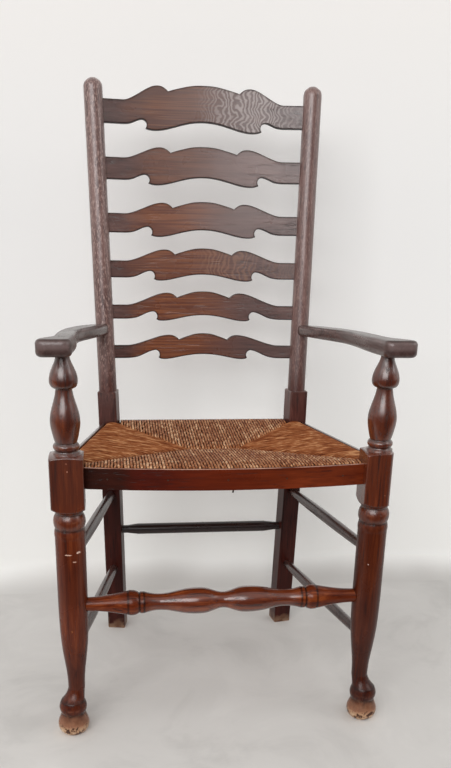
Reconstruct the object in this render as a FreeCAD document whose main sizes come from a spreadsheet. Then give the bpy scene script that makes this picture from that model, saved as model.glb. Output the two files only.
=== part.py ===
import FreeCAD, Part
import math
import os
import Sketcher

# Rush-seated ladderback armchair with six wavy slats.
# X runs to the sitter's left in the picture plane, Y to the back of the chair and Z up.
# The origin lies on the floor, under the middle of the chair's overall box.

Vector = FreeCAD.Vector
Placement = FreeCAD.Placement
Rotation = FreeCAD.Rotation

LEFT = -1
RIGHT = 1
SIDES = {"left": LEFT, "right": RIGHT}
EAST = Vector(1, 0, 0)
NORTH = Vector(0, 1, 0)
UP = Vector(0, 0, 1)
SLATS = range(1, 7)

# Driving dimensions, in millimetres and degrees
DIMENSIONS = {
    # Stance
    "front_spacing": 504.0,
    "seat_depth": 366.0,
    "back_spacing": 375.2,
    "knee_height": 466.0,
    "chair_height": 1080.0,
    "rake_angle": 5.88,
    "leg_rake_angle": 2.35,
    "splay_angle": 1.455,
    "leg_splay_angle": 0.88,
    # Front posts: foot turned off centre, each detail a rise above the one below
    "foot_offset": 7.0,
    "foot_base_diameter": 38.0,
    "foot_ball_diameter": 53.5,
    "foot_ball_rise": 16.0,
    "foot_groove_diameter": 41.5,
    "foot_groove_rise": 22.5,
    "foot_collar_diameter": 47.0,
    "foot_collar_rise": 11.5,
    "foot_collar_top_diameter": 40.0,
    "foot_collar_top_rise": 11.0,
    "ankle_diameter": 28.4,
    "ankle_rise": 21.0,
    "calf_rise": 163.0,
    # Front posts: column, each detail a drop below the one above, the first below the block
    "torus_groove_diameter": 43.0,
    "torus_groove_drop": 5.5,
    "torus_diameter": 51.0,
    "torus_drop": 9.5,
    "column_groove_diameter": 46.8,
    "column_groove_drop": 15.5,
    "lower_ring_diameter": 50.2,
    "lower_ring_drop": 8.0,
    "column_diameter": 49.0,
    "column_drop": 8.5,
    "cap_bead_rise": 0.6,
    # Front posts: square block, its ends measured from the top of the seat's front
    "block_below_seat": 71.0,
    "block_above_seat": 21.0,
    "block_depth": 52.0,
    "block_inner_width": 26.0,
    "block_outer_width_left": 27.0,
    "block_outer_width_right": 19.0,
    "block_corner_radius": 3.0,
    "block_outer_corner_radius_left": 4.0,
    "block_outer_corner_radius_right": 10.0,
    "block_lower_neck_diameter": 44.0,
    "block_lower_shoulder": 18.0,
    "block_upper_shoulder": 5.0,
    # Front posts: arm support, rises from the block upward and drops from the arm downward
    "cap_ring_diameter": 42.0,
    "cap_ring_rise": 2.5,
    "bead_groove_diameter": 35.6,
    "bead_groove_rise": 4.0,
    "bead_diameter": 41.0,
    "bead_rise": 6.1,
    "baluster_foot_diameter": 33.2,
    "baluster_foot_rise": 5.4,
    "baluster_diameter": 46.6,
    "baluster_rise": 34.0,
    "cup_diameter": 43.6,
    "cup_drop": 38.0,
    "baluster_neck_diameter": 25.4,
    "baluster_neck_drop": 12.0,
    "cup_top_diameter": 21.0,
    "arm_tenon_diameter": 17.0,
    "arm_tenon_length": 15.0,
    # Back posts
    "leg_width": 36.0,
    "leg_depth": 38.0,
    "leg_turn_angle": 9.9,
    "leg_corner_radius": 3.0,
    "back_block_height": 56.5,
    "back_block_chamfer": 1.5,
    "back_post_diameter": 34.4,
    "back_dome_height": 17.0,
    # Slats: open gap below, end height and crown height of each
    "slat_top_gap": 3.3,
    "slat_1_gap": 34.2,
    "slat_1_end": 40.5,
    "slat_1_crown": 70.2,
    "slat_2_gap": 34.9,
    "slat_2_end": 38.3,
    "slat_2_crown": 61.6,
    "slat_3_gap": 25.4,
    "slat_3_end": 34.5,
    "slat_3_crown": 58.5,
    "slat_4_gap": 23.6,
    "slat_4_end": 31.1,
    "slat_4_crown": 56.0,
    "slat_5_gap": 26.8,
    "slat_5_end": 26.5,
    "slat_5_crown": 52.9,
    "slat_6_gap": 62.3,
    "slat_6_end": 24.9,
    "slat_6_crown": 47.8,
    # Slats: wavy outline, first and last of the set
    "slat_thickness": 9.0,
    "slat_bow": 13.0,
    "slat_dip_reach_first": 66.5,
    "slat_dip_reach_last": 47.5,
    "slat_dip": 12.0,
    "slat_hump_width": 21.0,
    "slat_hump_drop": 3.2,
    "slat_hook_reach_first": 108.5,
    "slat_hook_reach_last": 88.0,
    "slat_notch_width": 6.8,
    "slat_notch_first": 9.0,
    "slat_notch_last": 15.5,
    "slat_lobe_drop_first": 9.0,
    "slat_lobe_drop_last": 2.0,
    "slat_lobe_width_first": 17.0,
    "slat_lobe_width_last": 8.0,
    "slat_hook_tip": 2.8,
    "slat_arch": 7.6,
    "slat_shoulder_reach": 150.0,
    "slat_edge_radius": 1.5,
    "slat_root": 4.0,
    # Arms
    "arm_above_seat": 174.0,
    "arm_thickness": 26.0,
    "arm_underside_slope": 0.062,
    "arm_top_slope": 0.077,
    "arm_nose_reach": 39.0,
    "arm_nose_outer": 37.0,
    "arm_nose_inner": 16.0,
    "arm_nose_corner": 13.0,
    "arm_outward_reach": 42.5,
    "arm_tail_width": 28.0,
    "arm_tail_shift": 7.0,
    "arm_tail_gap": 0.3,
    "arm_edge_radius": 7.0,
    "tail_tenon_diameter": 13.0,
    "tail_tenon_length": 14.0,
    # Stretchers
    "front_stretcher_height": 239.2,
    "front_stretcher_end_diameter": 23.6,
    "front_stretcher_bead_diameter": 42.4,
    "front_stretcher_bead_reach": 152.0,
    "front_stretcher_bead_width": 18.0,
    "front_stretcher_straight": 18.5,
    "front_stretcher_groove_diameter": 34.2,
    "front_stretcher_groove_width": 1.5,
    "front_stretcher_ring_diameter": 36.8,
    "front_stretcher_ring_reach": 134.5,
    "front_stretcher_ring_width": 6.0,
    "front_stretcher_neck_diameter": 28.0,
    "front_stretcher_neck_reach": 108.0,
    "front_stretcher_bulb_diameter": 44.6,
    "front_stretcher_bulb_reach": 43.0,
    "front_stretcher_waist_diameter": 27.4,
    "upper_stretcher_front": 321.0,
    "upper_stretcher_back": 310.0,
    "lower_stretcher_front": 158.0,
    "lower_stretcher_back": 143.0,
    "back_stretcher_height": 226.8,
    "back_stretcher_diameter": 22.4,
    "back_stretcher_taper": 22.0,
    "stretcher_diameter": 20.0,
    "stretcher_end_diameter": 16.5,
    "stretcher_straight": 22.0,
    "column_root": 7.5,
    "leg_root": 6.0,
    # Seat frame and rush
    "seat_front_height": 480.0,
    "seat_slope_angle": 2.6,
    "rail_height": 22.0,
    "rail_thickness": 18.0,
    "rail_tenon_height": 16.0,
    "rail_tenon_thickness": 10.0,
    "rail_tenon_length": 12.0,
    "rail_shoulder_gap": 3.4,
    "rush_thickness": 6.0,
    "rush_dish": 15.0,
    "rush_ridge_length": 86.0,
    "rush_edge_radius": 7.0,
    "rush_lip": 6.0,
    "front_bow": 22.0,
    "strip_thickness": 6.0,
    "strip_height": 34.0,
    "strip_drop": 1.5,
    "strip_edge_radius": 1.5,
    "side_strip_height": 22.0,
    "side_strip_drop": 3.0,
    "front_strip_setback": 19.0,
    "side_strip_front_offset": 16.0,
    "side_strip_back_offset": 15.4,
    # Brads through the edging strips
    "brad_diameter": 2.6,
    "brad_length": 11.5,
    "brad_spacing": 95.0,
    # Fits
    "fit_clearance": 0.15,
    "rush_clearance": 0.3,
    "leg_side_clearance": 0.9,
    "back_strip_gap": 1.5,
}

doc = FreeCAD.newDocument("LadderbackChair")
sheet = doc.addObject("Spreadsheet::Sheet", "Sizes")
for row, (alias, value) in enumerate(DIMENSIONS.items(), start=1):
    sheet.set(f"A{row}", alias)
    sheet.set(f"B{row}", str(value))
    sheet.setAlias(f"B{row}", alias)
doc.recompute()


def size(alias):
    """Value of a named cell."""
    return float(sheet.get(alias))


def radius(alias):
    """Half of a named diameter."""
    return size(alias) / 2


def slope(alias):
    """Tangent of a named angle."""
    return math.tan(math.radians(size(alias)))


# Overall places worked out from the driving dimensions
def dome_reach():
    """How far a back post's domed top stands behind the dome's centre."""
    angle = math.radians(size("rake_angle"))
    return math.hypot(
        radius("back_post_diameter") * math.cos(angle),
        size("back_dome_height") * math.sin(angle),
    )


DOME_LEVEL = size("chair_height") - size("back_dome_height")
BACK_BLOCK_TOP = size("knee_height") + size("back_block_height")
BLOCK_BOTTOM = size("seat_front_height") - size("block_below_seat")
BLOCK_TOP = size("seat_front_height") + size("block_above_seat")
ARM_LEVEL = size("seat_front_height") + size("arm_above_seat")
BACK_REACH = slope("rake_angle") * (DOME_LEVEL - size("knee_height")) + dome_reach()
OVERALL_DEPTH = size("arm_nose_reach") + size("seat_depth") + BACK_REACH
FRONT_Y = size("arm_nose_reach") - OVERALL_DEPTH / 2
KNEE_Y = FRONT_Y + size("seat_depth")


def front_axis(side, level):
    """Point on a front post's axis."""
    return Vector(side * size("front_spacing") / 2, FRONT_Y, level)


def back_axis(side, level):
    """Point on a back post's bent axis."""
    rise = level - size("knee_height")
    half = size("back_spacing") / 2
    if rise >= 0:
        return Vector(side * (half + slope("splay_angle") * rise), KNEE_Y + slope("rake_angle") * rise, level)
    return Vector(
        side * (half + slope("leg_splay_angle") * rise), KNEE_Y - slope("leg_rake_angle") * rise, level
    )


# Drawing helpers
def frame(origin, across, up):
    """Placement whose X runs across and whose Y runs up."""
    return Placement(origin, Rotation(across, up, across.cross(up), "YXZ"))


def new_body(label, base=Vector(0, 0, 0), rotation=Rotation()):
    """Body with a label and a place of its own."""
    body = doc.addObject("PartDesign::Body", "Body_" + label)
    body.Label = label
    body.Placement = Placement(base, rotation)
    return body


def add_sketch(body, name, placement=Placement()):
    """Sketch in the body's own frame."""
    plane = next(item for item in body.Origin.OriginFeatures if item.Role == "XY_Plane")
    sketch = body.newObject("Sketcher::SketchObject", f"{body.Label}_{name}")
    sketch.AttachmentSupport = (plane, [""])
    sketch.MapMode = "FlatFace"
    sketch.AttachmentOffset = placement
    return sketch


def point(pair):
    """Sketch point from a pair of numbers."""
    return Vector(pair[0], pair[1], 0)


def outline(sketch, start, steps, leads=None):
    """Closed loop. A step of one point is a line, of two an arc and of more a smooth curve.

    Leads give the directions in which the curve of a numbered step sets off and arrives.
    """
    last = point(start)
    for index, step in enumerate(steps):
        through = [last] + [point(pair) for pair in step]
        if len(through) == 2:
            sketch.addGeometry(Part.LineSegment(*through))
        elif len(through) == 3:
            sketch.addGeometry(Part.Arc(*through))
        else:
            curve = Part.BSplineCurve()
            lead = (leads or {}).get(index, (None, None))
            inner = [Vector()] * (len(through) - 2)
            tangents = [point(lead[0] or (0, 0))] + inner + [point(lead[1] or (0, 0))]
            flags = [lead[0] is not None] + [False] * (len(through) - 2) + [lead[1] is not None]
            curve.interpolate(Points=through, Tangents=tangents, TangentFlags=flags)
            sketch.addGeometry(curve)
        last = through[-1]
    if not last.isEqual(point(start), 1e-6):
        sketch.addGeometry(Part.LineSegment(last, point(start)))


def circle(sketch, alias):
    """Circle about the sketch's origin, its diameter bound to a named cell."""
    index = sketch.addGeometry(Part.Circle(Vector(0, 0, 0), UP, radius(alias)))
    sketch.addConstraint(Sketcher.Constraint("Coincident", index, 3, -1, 1))
    bound = sketch.addConstraint(Sketcher.Constraint("Diameter", index, size(alias)))
    sketch.setExpression(f"Constraints[{bound}]", f"Sizes.{alias}")


def rectangle(sketch, low, high, radii=(0, 0, 0, 0)):
    """Upright rectangle with its corners rounded, from the low corner anticlockwise."""
    corners = [low, (high[0], low[1]), high, (low[0], high[1])]
    turns = [(1, 1), (-1, 1), (-1, -1), (1, -1)]
    shrink = 1 - math.sqrt(0.5)
    starts = []
    steps = []
    for index, ((x, y), (dx, dy), r) in enumerate(zip(corners, turns, radii)):
        vertical_first = index % 2 == 0
        before = (x, y + dy * r) if vertical_first else (x + dx * r, y)
        after = (x + dx * r, y) if vertical_first else (x, y + dy * r)
        starts.append(before)
        steps.append([before])
        if r > 0:
            steps.append([(x + dx * r * shrink, y + dy * r * shrink), after])
    outline(sketch, starts[0], steps[1:])


def pad(body, sketch, length, expression=None):
    """Pad of a sketch along its normal."""
    feature = body.newObject("PartDesign::Pad", sketch.Label + "_pad")
    feature.Profile = sketch
    feature.Length = length
    if expression:
        feature.setExpression("Length", expression)
    return feature


def pocket(body, sketch, length, both_ways=False):
    """Pocket of a sketch against its normal."""
    feature = body.newObject("PartDesign::Pocket", sketch.Label + "_pocket")
    feature.Profile = sketch
    feature.Length = length
    feature.Midplane = both_ways
    return feature


def revolve(body, sketch, cut=False):
    """Whole turn of a sketch about its own vertical axis."""
    kind = "Groove" if cut else "Revolution"
    feature = body.newObject(f"PartDesign::{kind}", f"{sketch.Label}_{kind.lower()}")
    feature.Profile = sketch
    feature.ReferenceAxis = (sketch, ["V_Axis"])
    feature.Angle = 360
    return feature


def loft(body, sections, cut=False, ruled=True):
    """Loft through sketches."""
    kind = "SubtractiveLoft" if cut else "AdditiveLoft"
    feature = body.newObject(f"PartDesign::{kind}", f"{sections[0].Label}_loft")
    feature.Profile = sections[0]
    feature.Sections = sections[1:]
    feature.Ruled = ruled
    return feature


def soften(body, alias, chosen):
    """Fillet of the edges that pass a test. The test is given the edge and its middle point."""
    doc.recompute()
    base = body.Tip
    names = []
    for index, edge in enumerate(base.Shape.Edges, start=1):
        middle = edge.valueAt((edge.FirstParameter + edge.LastParameter) / 2)
        if chosen(edge, middle):
            names.append(f"Edge{index}")
    feature = body.newObject("PartDesign::Fillet", f"{body.Label}_{alias}")
    feature.Base = (base, names)
    feature.setExpression("Radius", f"Sizes.{alias}")
    return feature


def swell(start, end, shape):
    """Points of a turned curve, as shares of its height and of its change of radius."""
    rise = end[1] - start[1]
    change = end[0] - start[0]
    inner = [(start[0] + change * share, start[1] + rise * height) for height, share in shape]
    return inner + [end]


def across_of(direction):
    """Level direction square to another direction."""
    return UP.cross(direction).normalize()


def drill(body, name, bottom, outward, alias, length):
    """Round socket from its bottom outward. Its width is a named diameter with clearance."""
    side = across_of(outward) if abs(outward.z) < 0.9 else EAST
    sketch = add_sketch(body, name, frame(bottom + outward * length, side, outward.cross(side)))
    sketch.addGeometry(Part.Circle(Vector(0, 0, 0), UP, radius(alias) + size("fit_clearance")))
    return pocket(body, sketch, length)


def mortise(body, name, bottom, outward, up, width, height, length):
    """Rectangular socket from its bottom outward, with clearance all round."""
    side = up.cross(outward).normalize()
    sketch = add_sketch(body, name, frame(bottom + outward * length, side, outward.cross(side)))
    half_width = width / 2 + size("fit_clearance")
    half_height = height / 2 + size("fit_clearance")
    rectangle(sketch, (-half_width, -half_height), (half_width, half_height))
    return pocket(body, sketch, length)


# Seat plane: it slopes down to the back, and its top lies on the rush over the rails
SEAT = Placement(Vector(0, FRONT_Y, size("seat_front_height")), Rotation(EAST, -size("seat_slope_angle")))
SEAT_UP = SEAT.Rotation.multVec(UP)
RAIL_DROP = size("rush_thickness") + size("rail_height") / 2
RUSH_HEIGHT = size("rail_height") + 2 * size("rush_thickness")
RAIL_INSET = size("strip_thickness") + size("rush_thickness") + size("rail_thickness") / 2
BLOCK_HALF_DEPTH = size("block_depth") / 2
BLOCK_FACE_X = size("front_spacing") / 2 - size("block_inner_width")
STRIP_FACE = size("front_strip_setback") - BLOCK_HALF_DEPTH
BOW_RADIUS = (BLOCK_FACE_X ** 2 + size("front_bow") ** 2) / (2 * size("front_bow"))
BOW_CENTRE = STRIP_FACE - size("front_bow") + BOW_RADIUS
LEG_FRONT = size("seat_depth") - size("leg_depth") / 2
SOCKET_REACH = 1.2 * size("block_depth")


def on_seat(x, depth, rise=0.0):
    """Point given in the seat plane's own frame."""
    return SEAT.multVec(Vector(x, depth, rise))


def bow_depth(x, inset):
    """Depth of the bowed front, at an inset behind the front strip's face."""
    return BOW_CENTRE - math.sqrt((BOW_RADIUS - inset) ** 2 - x ** 2)


def bow_arc(half, inset):
    """Three points of the bowed front, from one side to the other."""
    return (-half, bow_depth(half, inset)), (0.0, bow_depth(0.0, inset)), (half, bow_depth(half, inset))


def side_x(depth, inset=0.0):
    """Side of the seat at a depth, at an inset from the side strips' outer face."""
    front = size("front_spacing") / 2 + size("side_strip_front_offset")
    back = size("back_spacing") / 2 + size("side_strip_back_offset")
    share = (depth - BLOCK_HALF_DEPTH) / (LEG_FRONT - BLOCK_HALF_DEPTH)
    return front + (back - front) * share - inset


def leg_turn(side):
    """How a square back leg is turned in plan."""
    return Rotation(UP, side * size("leg_turn_angle"))


def leg_corner(side, across, along):
    """Corner of a square back leg from its axis: across is outward and along is backward."""
    corner = Vector(side * across * size("leg_width") / 2, along * size("leg_depth") / 2, 0)
    return leg_turn(side).multVec(corner)


def leg_plan(across, along, ahead=0.0, inward=0.0):
    """Corner of the right back leg in the seat plane, kept off by clearances."""
    axis = SEAT.inverse().multVec(back_axis(RIGHT, on_seat(0, size("seat_depth")).z))
    clear = leg_turn(RIGHT).multVec(Vector(-inward, -ahead, 0))
    corner = axis + leg_corner(RIGHT, across, along) + clear
    return corner.x, corner.y


def side_meets_leg(inset, ahead):
    """Where a line along the seat's side meets the front face of a back leg."""
    inner = leg_plan(-1, -1, ahead)
    outer = leg_plan(1, -1, ahead)
    lean = (outer[1] - inner[1]) / (outer[0] - inner[0])
    taper = (side_x(LEG_FRONT) - side_x(0)) / LEG_FRONT
    depth = (inner[1] + lean * (side_x(0, inset) - inner[0])) / (1 - lean * taper)
    return side_x(depth, inset), depth


def side_rail_line(side):
    """Where a side rail's middle line enters the block and the back leg, and its direction."""
    start = on_seat(side * side_x(BLOCK_HALF_DEPTH, RAIL_INSET), BLOCK_HALF_DEPTH, -RAIL_DROP)
    x, depth = side_meets_leg(RAIL_INSET, 0.0)
    end = on_seat(side * x, depth, -RAIL_DROP)
    return start, end, (end - start).normalize()


def rail_mortise(body, name, entry, outward):
    """Socket for a seat rail's tenon, from the point where the tenon goes in."""
    bottom = entry - outward * size("rail_tenon_length") - body.Placement.Base
    mortise(body, name, bottom, outward, SEAT_UP, size("rail_tenon_thickness"),
            size("rail_tenon_height"), SOCKET_REACH)


def side_stretcher_ends(side, tier):
    """Points on the front and back posts' axes that a side stretcher joins."""
    return front_axis(side, size(f"{tier}_stretcher_front")), back_axis(side, size(f"{tier}_stretcher_back"))


# Front posts: one turned piece each, from the off-centre foot to the arm's tenon
BALUSTER_LOWER = [(0.2, 0.33), (0.45, 0.62), (0.72, 0.88)]
BALUSTER_UPPER = [(0.15, 0.06), (0.33, 0.24), (0.6, 0.62), (0.86, 0.93)]
CUP_LIP = [(0.1, 0.45), (0.34, 0.8), (0.68, 0.96)]
CUP_SIDE = [(0.1, 0.03), (0.31, 0.19), (0.56, 0.53), (0.8, 0.87)]
CALF = [(0.2, 0.04), (0.44, 0.2), (0.57, 0.39), (0.69, 0.625), (0.8, 0.84), (0.93, 0.98)]
BALL_UPPER = [(0.3, 0.2), (0.6, 0.64), (0.85, 0.94)]
BALL_LOWER = [(0.1, 0.25), (0.3, 0.58), (0.65, 0.9)]


def above(name, level):
    """Radius and height of a turned detail that rises above a level."""
    return radius(f"{name}_diameter"), level + size(f"{name}_rise")


def below(name, level):
    """Radius and height of a turned detail that drops below a level."""
    return radius(f"{name}_diameter"), level - size(f"{name}_drop")


def ankle_levels():
    """Turned details from the floor up to the ankle."""
    ball = above("foot_ball", 0.0)
    groove = above("foot_groove", ball[1])
    collar = above("foot_collar", groove[1])
    collar_top = above("foot_collar_top", collar[1])
    return ball, groove, collar, collar_top, above("ankle", collar_top[1])


def between(start, end, share, rise=0.5):
    """Point between two others: a share of the change of radius at a share of the height."""
    return start[0] + (end[0] - start[0]) * share, start[1] + (end[1] - start[1]) * rise


def turned_part(body, name, bottom, steps, top, axis=Vector(0, 0, 0)):
    """Turns a profile that starts and ends on an upright axis."""
    sketch = add_sketch(body, name, frame(axis, EAST, UP))
    outline(sketch, (0, bottom), steps + [[(0, top)]])
    return revolve(body, sketch)


def front_foot(body, side):
    """Foot turned on a second axis, outward and forward of the post's own."""
    axis = Vector(side * size("foot_offset"), -size("foot_offset"), 0)
    base = (radius("foot_base_diameter"), 0.0)
    ball, groove, collar, collar_top, ankle = ankle_levels()
    turned_part(body, "foot", 0.0, [
        [base],
        swell(base, ball, BALL_LOWER),
        swell(ball, groove, BALL_UPPER),
        [between(groove, collar, 0.8), collar],
        [between(collar, collar_top, 0.35), collar_top],
    ], collar_top[1], axis)

    low = add_sketch(body, "collar_section", Placement(axis + UP * collar_top[1], Rotation()))
    circle(low, "foot_collar_top_diameter")
    blend = between(collar_top, ankle, 0.7, 0.45)
    middle = add_sketch(body, "blend_section", Placement(axis * 0.4 + UP * blend[1], Rotation()))
    middle.addGeometry(Part.Circle(Vector(0, 0, 0), UP, blend[0]))
    high = add_sketch(body, "ankle_section", Placement(UP * ankle[1], Rotation()))
    circle(high, "ankle_diameter")
    loft(body, [low, middle, high], ruled=False)


def front_column(body):
    """Column from the ankle up into the block."""
    ankle = ankle_levels()[-1]
    torus_groove = below("torus_groove", BLOCK_BOTTOM)
    torus = below("torus", torus_groove[1])
    groove = below("column_groove", torus[1])
    ring = below("lower_ring", groove[1])
    column = below("column", ring[1])
    calf = (column[0], ankle[1] + size("calf_rise"))
    neck = (radius("block_lower_neck_diameter"), BLOCK_BOTTOM)
    inside = BLOCK_BOTTOM + size("block_lower_shoulder")
    turned_part(body, "column", ankle[1], [
        [ankle],
        swell(calf, ankle, CALF)[-2::-1] + [calf],
        [column],
        [ring, groove],
        [torus, torus_groove],
        [(neck[0] + size("cap_bead_rise"), (torus_groove[1] + neck[1]) / 2), neck],
        [(neck[0], inside)],
    ], inside)


def front_block(body, side, word):
    """Square block with lathe-cut shoulders."""
    inner = size("block_inner_width")
    outer = size(f"block_outer_width_{word}")
    edge = size("block_corner_radius")
    round_edge = size(f"block_outer_corner_radius_{word}")
    sketch = add_sketch(body, "block", Placement(UP * BLOCK_BOTTOM, Rotation()))
    if side == LEFT:
        spans = (-outer, inner)
        edges = (round_edge, edge, edge, edge)
    else:
        spans = (-inner, outer)
        edges = (edge, round_edge, edge, edge)
    rectangle(sketch, (spans[0], -BLOCK_HALF_DEPTH), (spans[1], BLOCK_HALF_DEPTH), edges)
    pad(body, sketch, BLOCK_TOP - BLOCK_BOTTOM, "Sizes.block_above_seat + Sizes.block_below_seat")

    reach = BLOCK_HALF_DEPTH * math.sqrt(2) + edge
    neck = (radius("block_lower_neck_diameter"), BLOCK_BOTTOM)
    shoulder = (reach, BLOCK_BOTTOM + size("block_lower_shoulder"))
    lower = add_sketch(body, "lower_shoulder", frame(Vector(0, 0, 0), EAST, UP))
    outline(lower, neck, [[between(neck, shoulder, 0.68, 0.32), shoulder], [(reach + edge, shoulder[1])],
                          [(reach + edge, BLOCK_BOTTOM)]])
    revolve(body, lower, cut=True)
    ring = (radius("cap_ring_diameter"), BLOCK_TOP)
    shoulder = (reach, BLOCK_TOP - size("block_upper_shoulder"))
    upper = add_sketch(body, "upper_shoulder", frame(Vector(0, 0, 0), EAST, UP))
    outline(upper, ring, [[between(ring, shoulder, 0.5, 0.35), shoulder], [(reach + edge, shoulder[1])],
                          [(reach + edge, BLOCK_TOP)]])
    revolve(body, upper, cut=True)


def arm_support(body):
    """Turned support from the block up to the arm's tenon."""
    inside = BLOCK_TOP - size("block_upper_shoulder") * 2
    cap = above("cap_ring", BLOCK_TOP)
    groove = above("bead_groove", cap[1])
    bead = above("bead", groove[1])
    foot = above("baluster_foot", bead[1])
    belly = above("baluster", foot[1])
    cup = below("cup", ARM_LEVEL)
    neck = below("baluster_neck", cup[1])
    cup_top = (radius("cup_top_diameter"), ARM_LEVEL)
    tenon = (radius("arm_tenon_diameter"), ARM_LEVEL + size("arm_tenon_length"))
    turned_part(body, "support", inside, [
        [(cap[0], inside)],
        [cap],
        [between(cap, groove, 0.6, 0.3), groove],
        [bead, foot],
        swell(foot, belly, BALUSTER_LOWER),
        swell(belly, neck, BALUSTER_UPPER),
        swell(neck, cup, CUP_LIP) + swell(cup, cup_top, CUP_SIDE),
        [(tenon[0], cup_top[1])],
        [tenon],
    ], tenon[1])


def front_post(word, side):
    body = new_body(f"front_post_{word}", front_axis(side, 0))
    front_foot(body, side)
    front_column(body)
    front_block(body, side, word)
    arm_support(body)

    inward = EAST * -side
    front_entry = on_seat(side * BLOCK_FACE_X, bow_depth(BLOCK_FACE_X, RAIL_INSET), -RAIL_DROP)
    rail_mortise(body, "front_rail_mortise", front_entry, inward)
    side_entry, _, direction = side_rail_line(side)
    rail_mortise(body, "side_rail_mortise", side_entry, direction)
    centre = UP * size("front_stretcher_height")
    drill(body, "front_stretcher_socket", centre + inward * size("column_root"), inward,
          "front_stretcher_end_diameter", SOCKET_REACH)
    for tier in ("upper", "lower"):
        start, end = side_stretcher_ends(side, tier)
        direction = (end - start).normalize()
        bottom = start + direction * size("column_root") - body.Placement.Base
        drill(body, f"{tier}_stretcher_socket", bottom, direction, "stretcher_end_diameter", SOCKET_REACH)
    return body


# Slats: bent boards with a sawn wavy outline, let into mortises at both ends
def slat_level(number):
    """Level of a slat's lower corners. The gaps share out what the slats leave of the back's height."""
    crowns = [size(f"slat_{each}_crown") for each in SLATS]
    gaps = [size(f"slat_{each}_gap") for each in SLATS]
    top = size("chair_height") - size("slat_top_gap")
    stretch = (top - BACK_BLOCK_TOP - sum(crowns)) / sum(gaps)
    return top - sum(crowns[:number]) - stretch * sum(gaps[:number - 1])


def slat_place(number):
    """Place of a slat: the lower corners' level on the posts' axes, leaning with the posts."""
    level = slat_level(number)
    return Placement(Vector(0, back_axis(RIGHT, level).y, level), Rotation(EAST, -size("rake_angle")))


def slat_half(number):
    """Half distance between the posts' axes at the middle of a slat's end."""
    return back_axis(RIGHT, slat_level(number) + size(f"slat_{number}_end") / 2).x


def slat_radius(half):
    """Radius of a slat's bow."""
    return (half ** 2 + size("slat_bow") ** 2) / (2 * size("slat_bow"))


def along_set(name, number):
    """Size that runs evenly from the first slat to the last."""
    share = (number - SLATS[0]) / (SLATS[-1] - SLATS[0])
    return size(f"{name}_first") + (size(f"{name}_last") - size(f"{name}_first")) * share


def slat_outline(number, half):
    """Start and steps of the whole outline, from the dip right of the crown once round the slat."""
    end = size(f"slat_{number}_end")
    crown = size(f"slat_{number}_crown")
    dip = along_set("slat_dip_reach", number)
    valley = crown - size("slat_dip")
    hump = dip + size("slat_hump_width")
    hump_top = crown - size("slat_hump_drop")
    shoulder = size("slat_shoulder_reach")
    run = shoulder - hump
    rise = hump_top - end
    hook = along_set("slat_hook_reach", number)
    notch = hook + size("slat_notch_width")
    notch_top = along_set("slat_notch", number)
    lobe = hook - along_set("slat_lobe_width", number)
    drop = -along_set("slat_lobe_drop", number)
    tip = drop + size("slat_hook_tip")
    arch = size("slat_arch")
    corner = size("slat_notch_width") / 3
    start = (dip, valley)
    right = [
        [(dip + (hump - dip) * 0.24, valley + (hump_top - valley) * 0.5),
         (dip + (hump - dip) * 0.55, valley + (hump_top - valley) * 0.88), (hump, hump_top),
         (hump + run * 0.35, hump_top - rise * 0.3), (hump + run * 0.72, end + rise * 0.2),
         (hump + run * 0.92, end + rise * 0.02), (shoulder, end)],
        [(half, end)],
        [(half, 0.0)],
        [(shoulder, 0.0)],
        [(shoulder - (shoulder - notch) * 0.1, notch_top * 0.02),
         (shoulder - (shoulder - notch) * 0.4, notch_top * 0.2),
         (notch + (shoulder - notch) * 0.25, notch_top * 0.75), (notch, notch_top)],
        [(hook + corner, notch_top - corner * 0.6), (hook, tip)],
    ]
    lobes = [(lobe + (hook - lobe) * 0.6, drop + (tip - drop) * 0.3), (lobe, drop),
             (lobe * 0.62, drop + (arch - drop) * 0.38), (lobe * 0.3, drop + (arch - drop) * 0.84)]
    rise = [(dip * 0.36, crown - size("slat_dip") * 0.12), (dip * 0.68, crown - size("slat_dip") * 0.5),
            (dip * 0.93, valley + size("slat_dip") * 0.13)]
    under = lobes + [(0.0, arch)] + [(-x, y) for x, y in lobes[::-1]] + [(-hook, tip)]
    over = [(-x, y) for x, y in rise[::-1]] + [(0.0, crown)] + rise + [start]
    return start, right + [under] + mirrored(start, right) + [over]


def mirrored(start, steps):
    """Steps that run back along the other half of a symmetrical outline."""
    points = [start] + [step[-1] for step in steps]
    result = []
    for index in reversed(range(len(steps))):
        through = steps[index][-2::-1] + [points[index]]
        result.append([(-x, y) for x, y in through])
    return result


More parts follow.
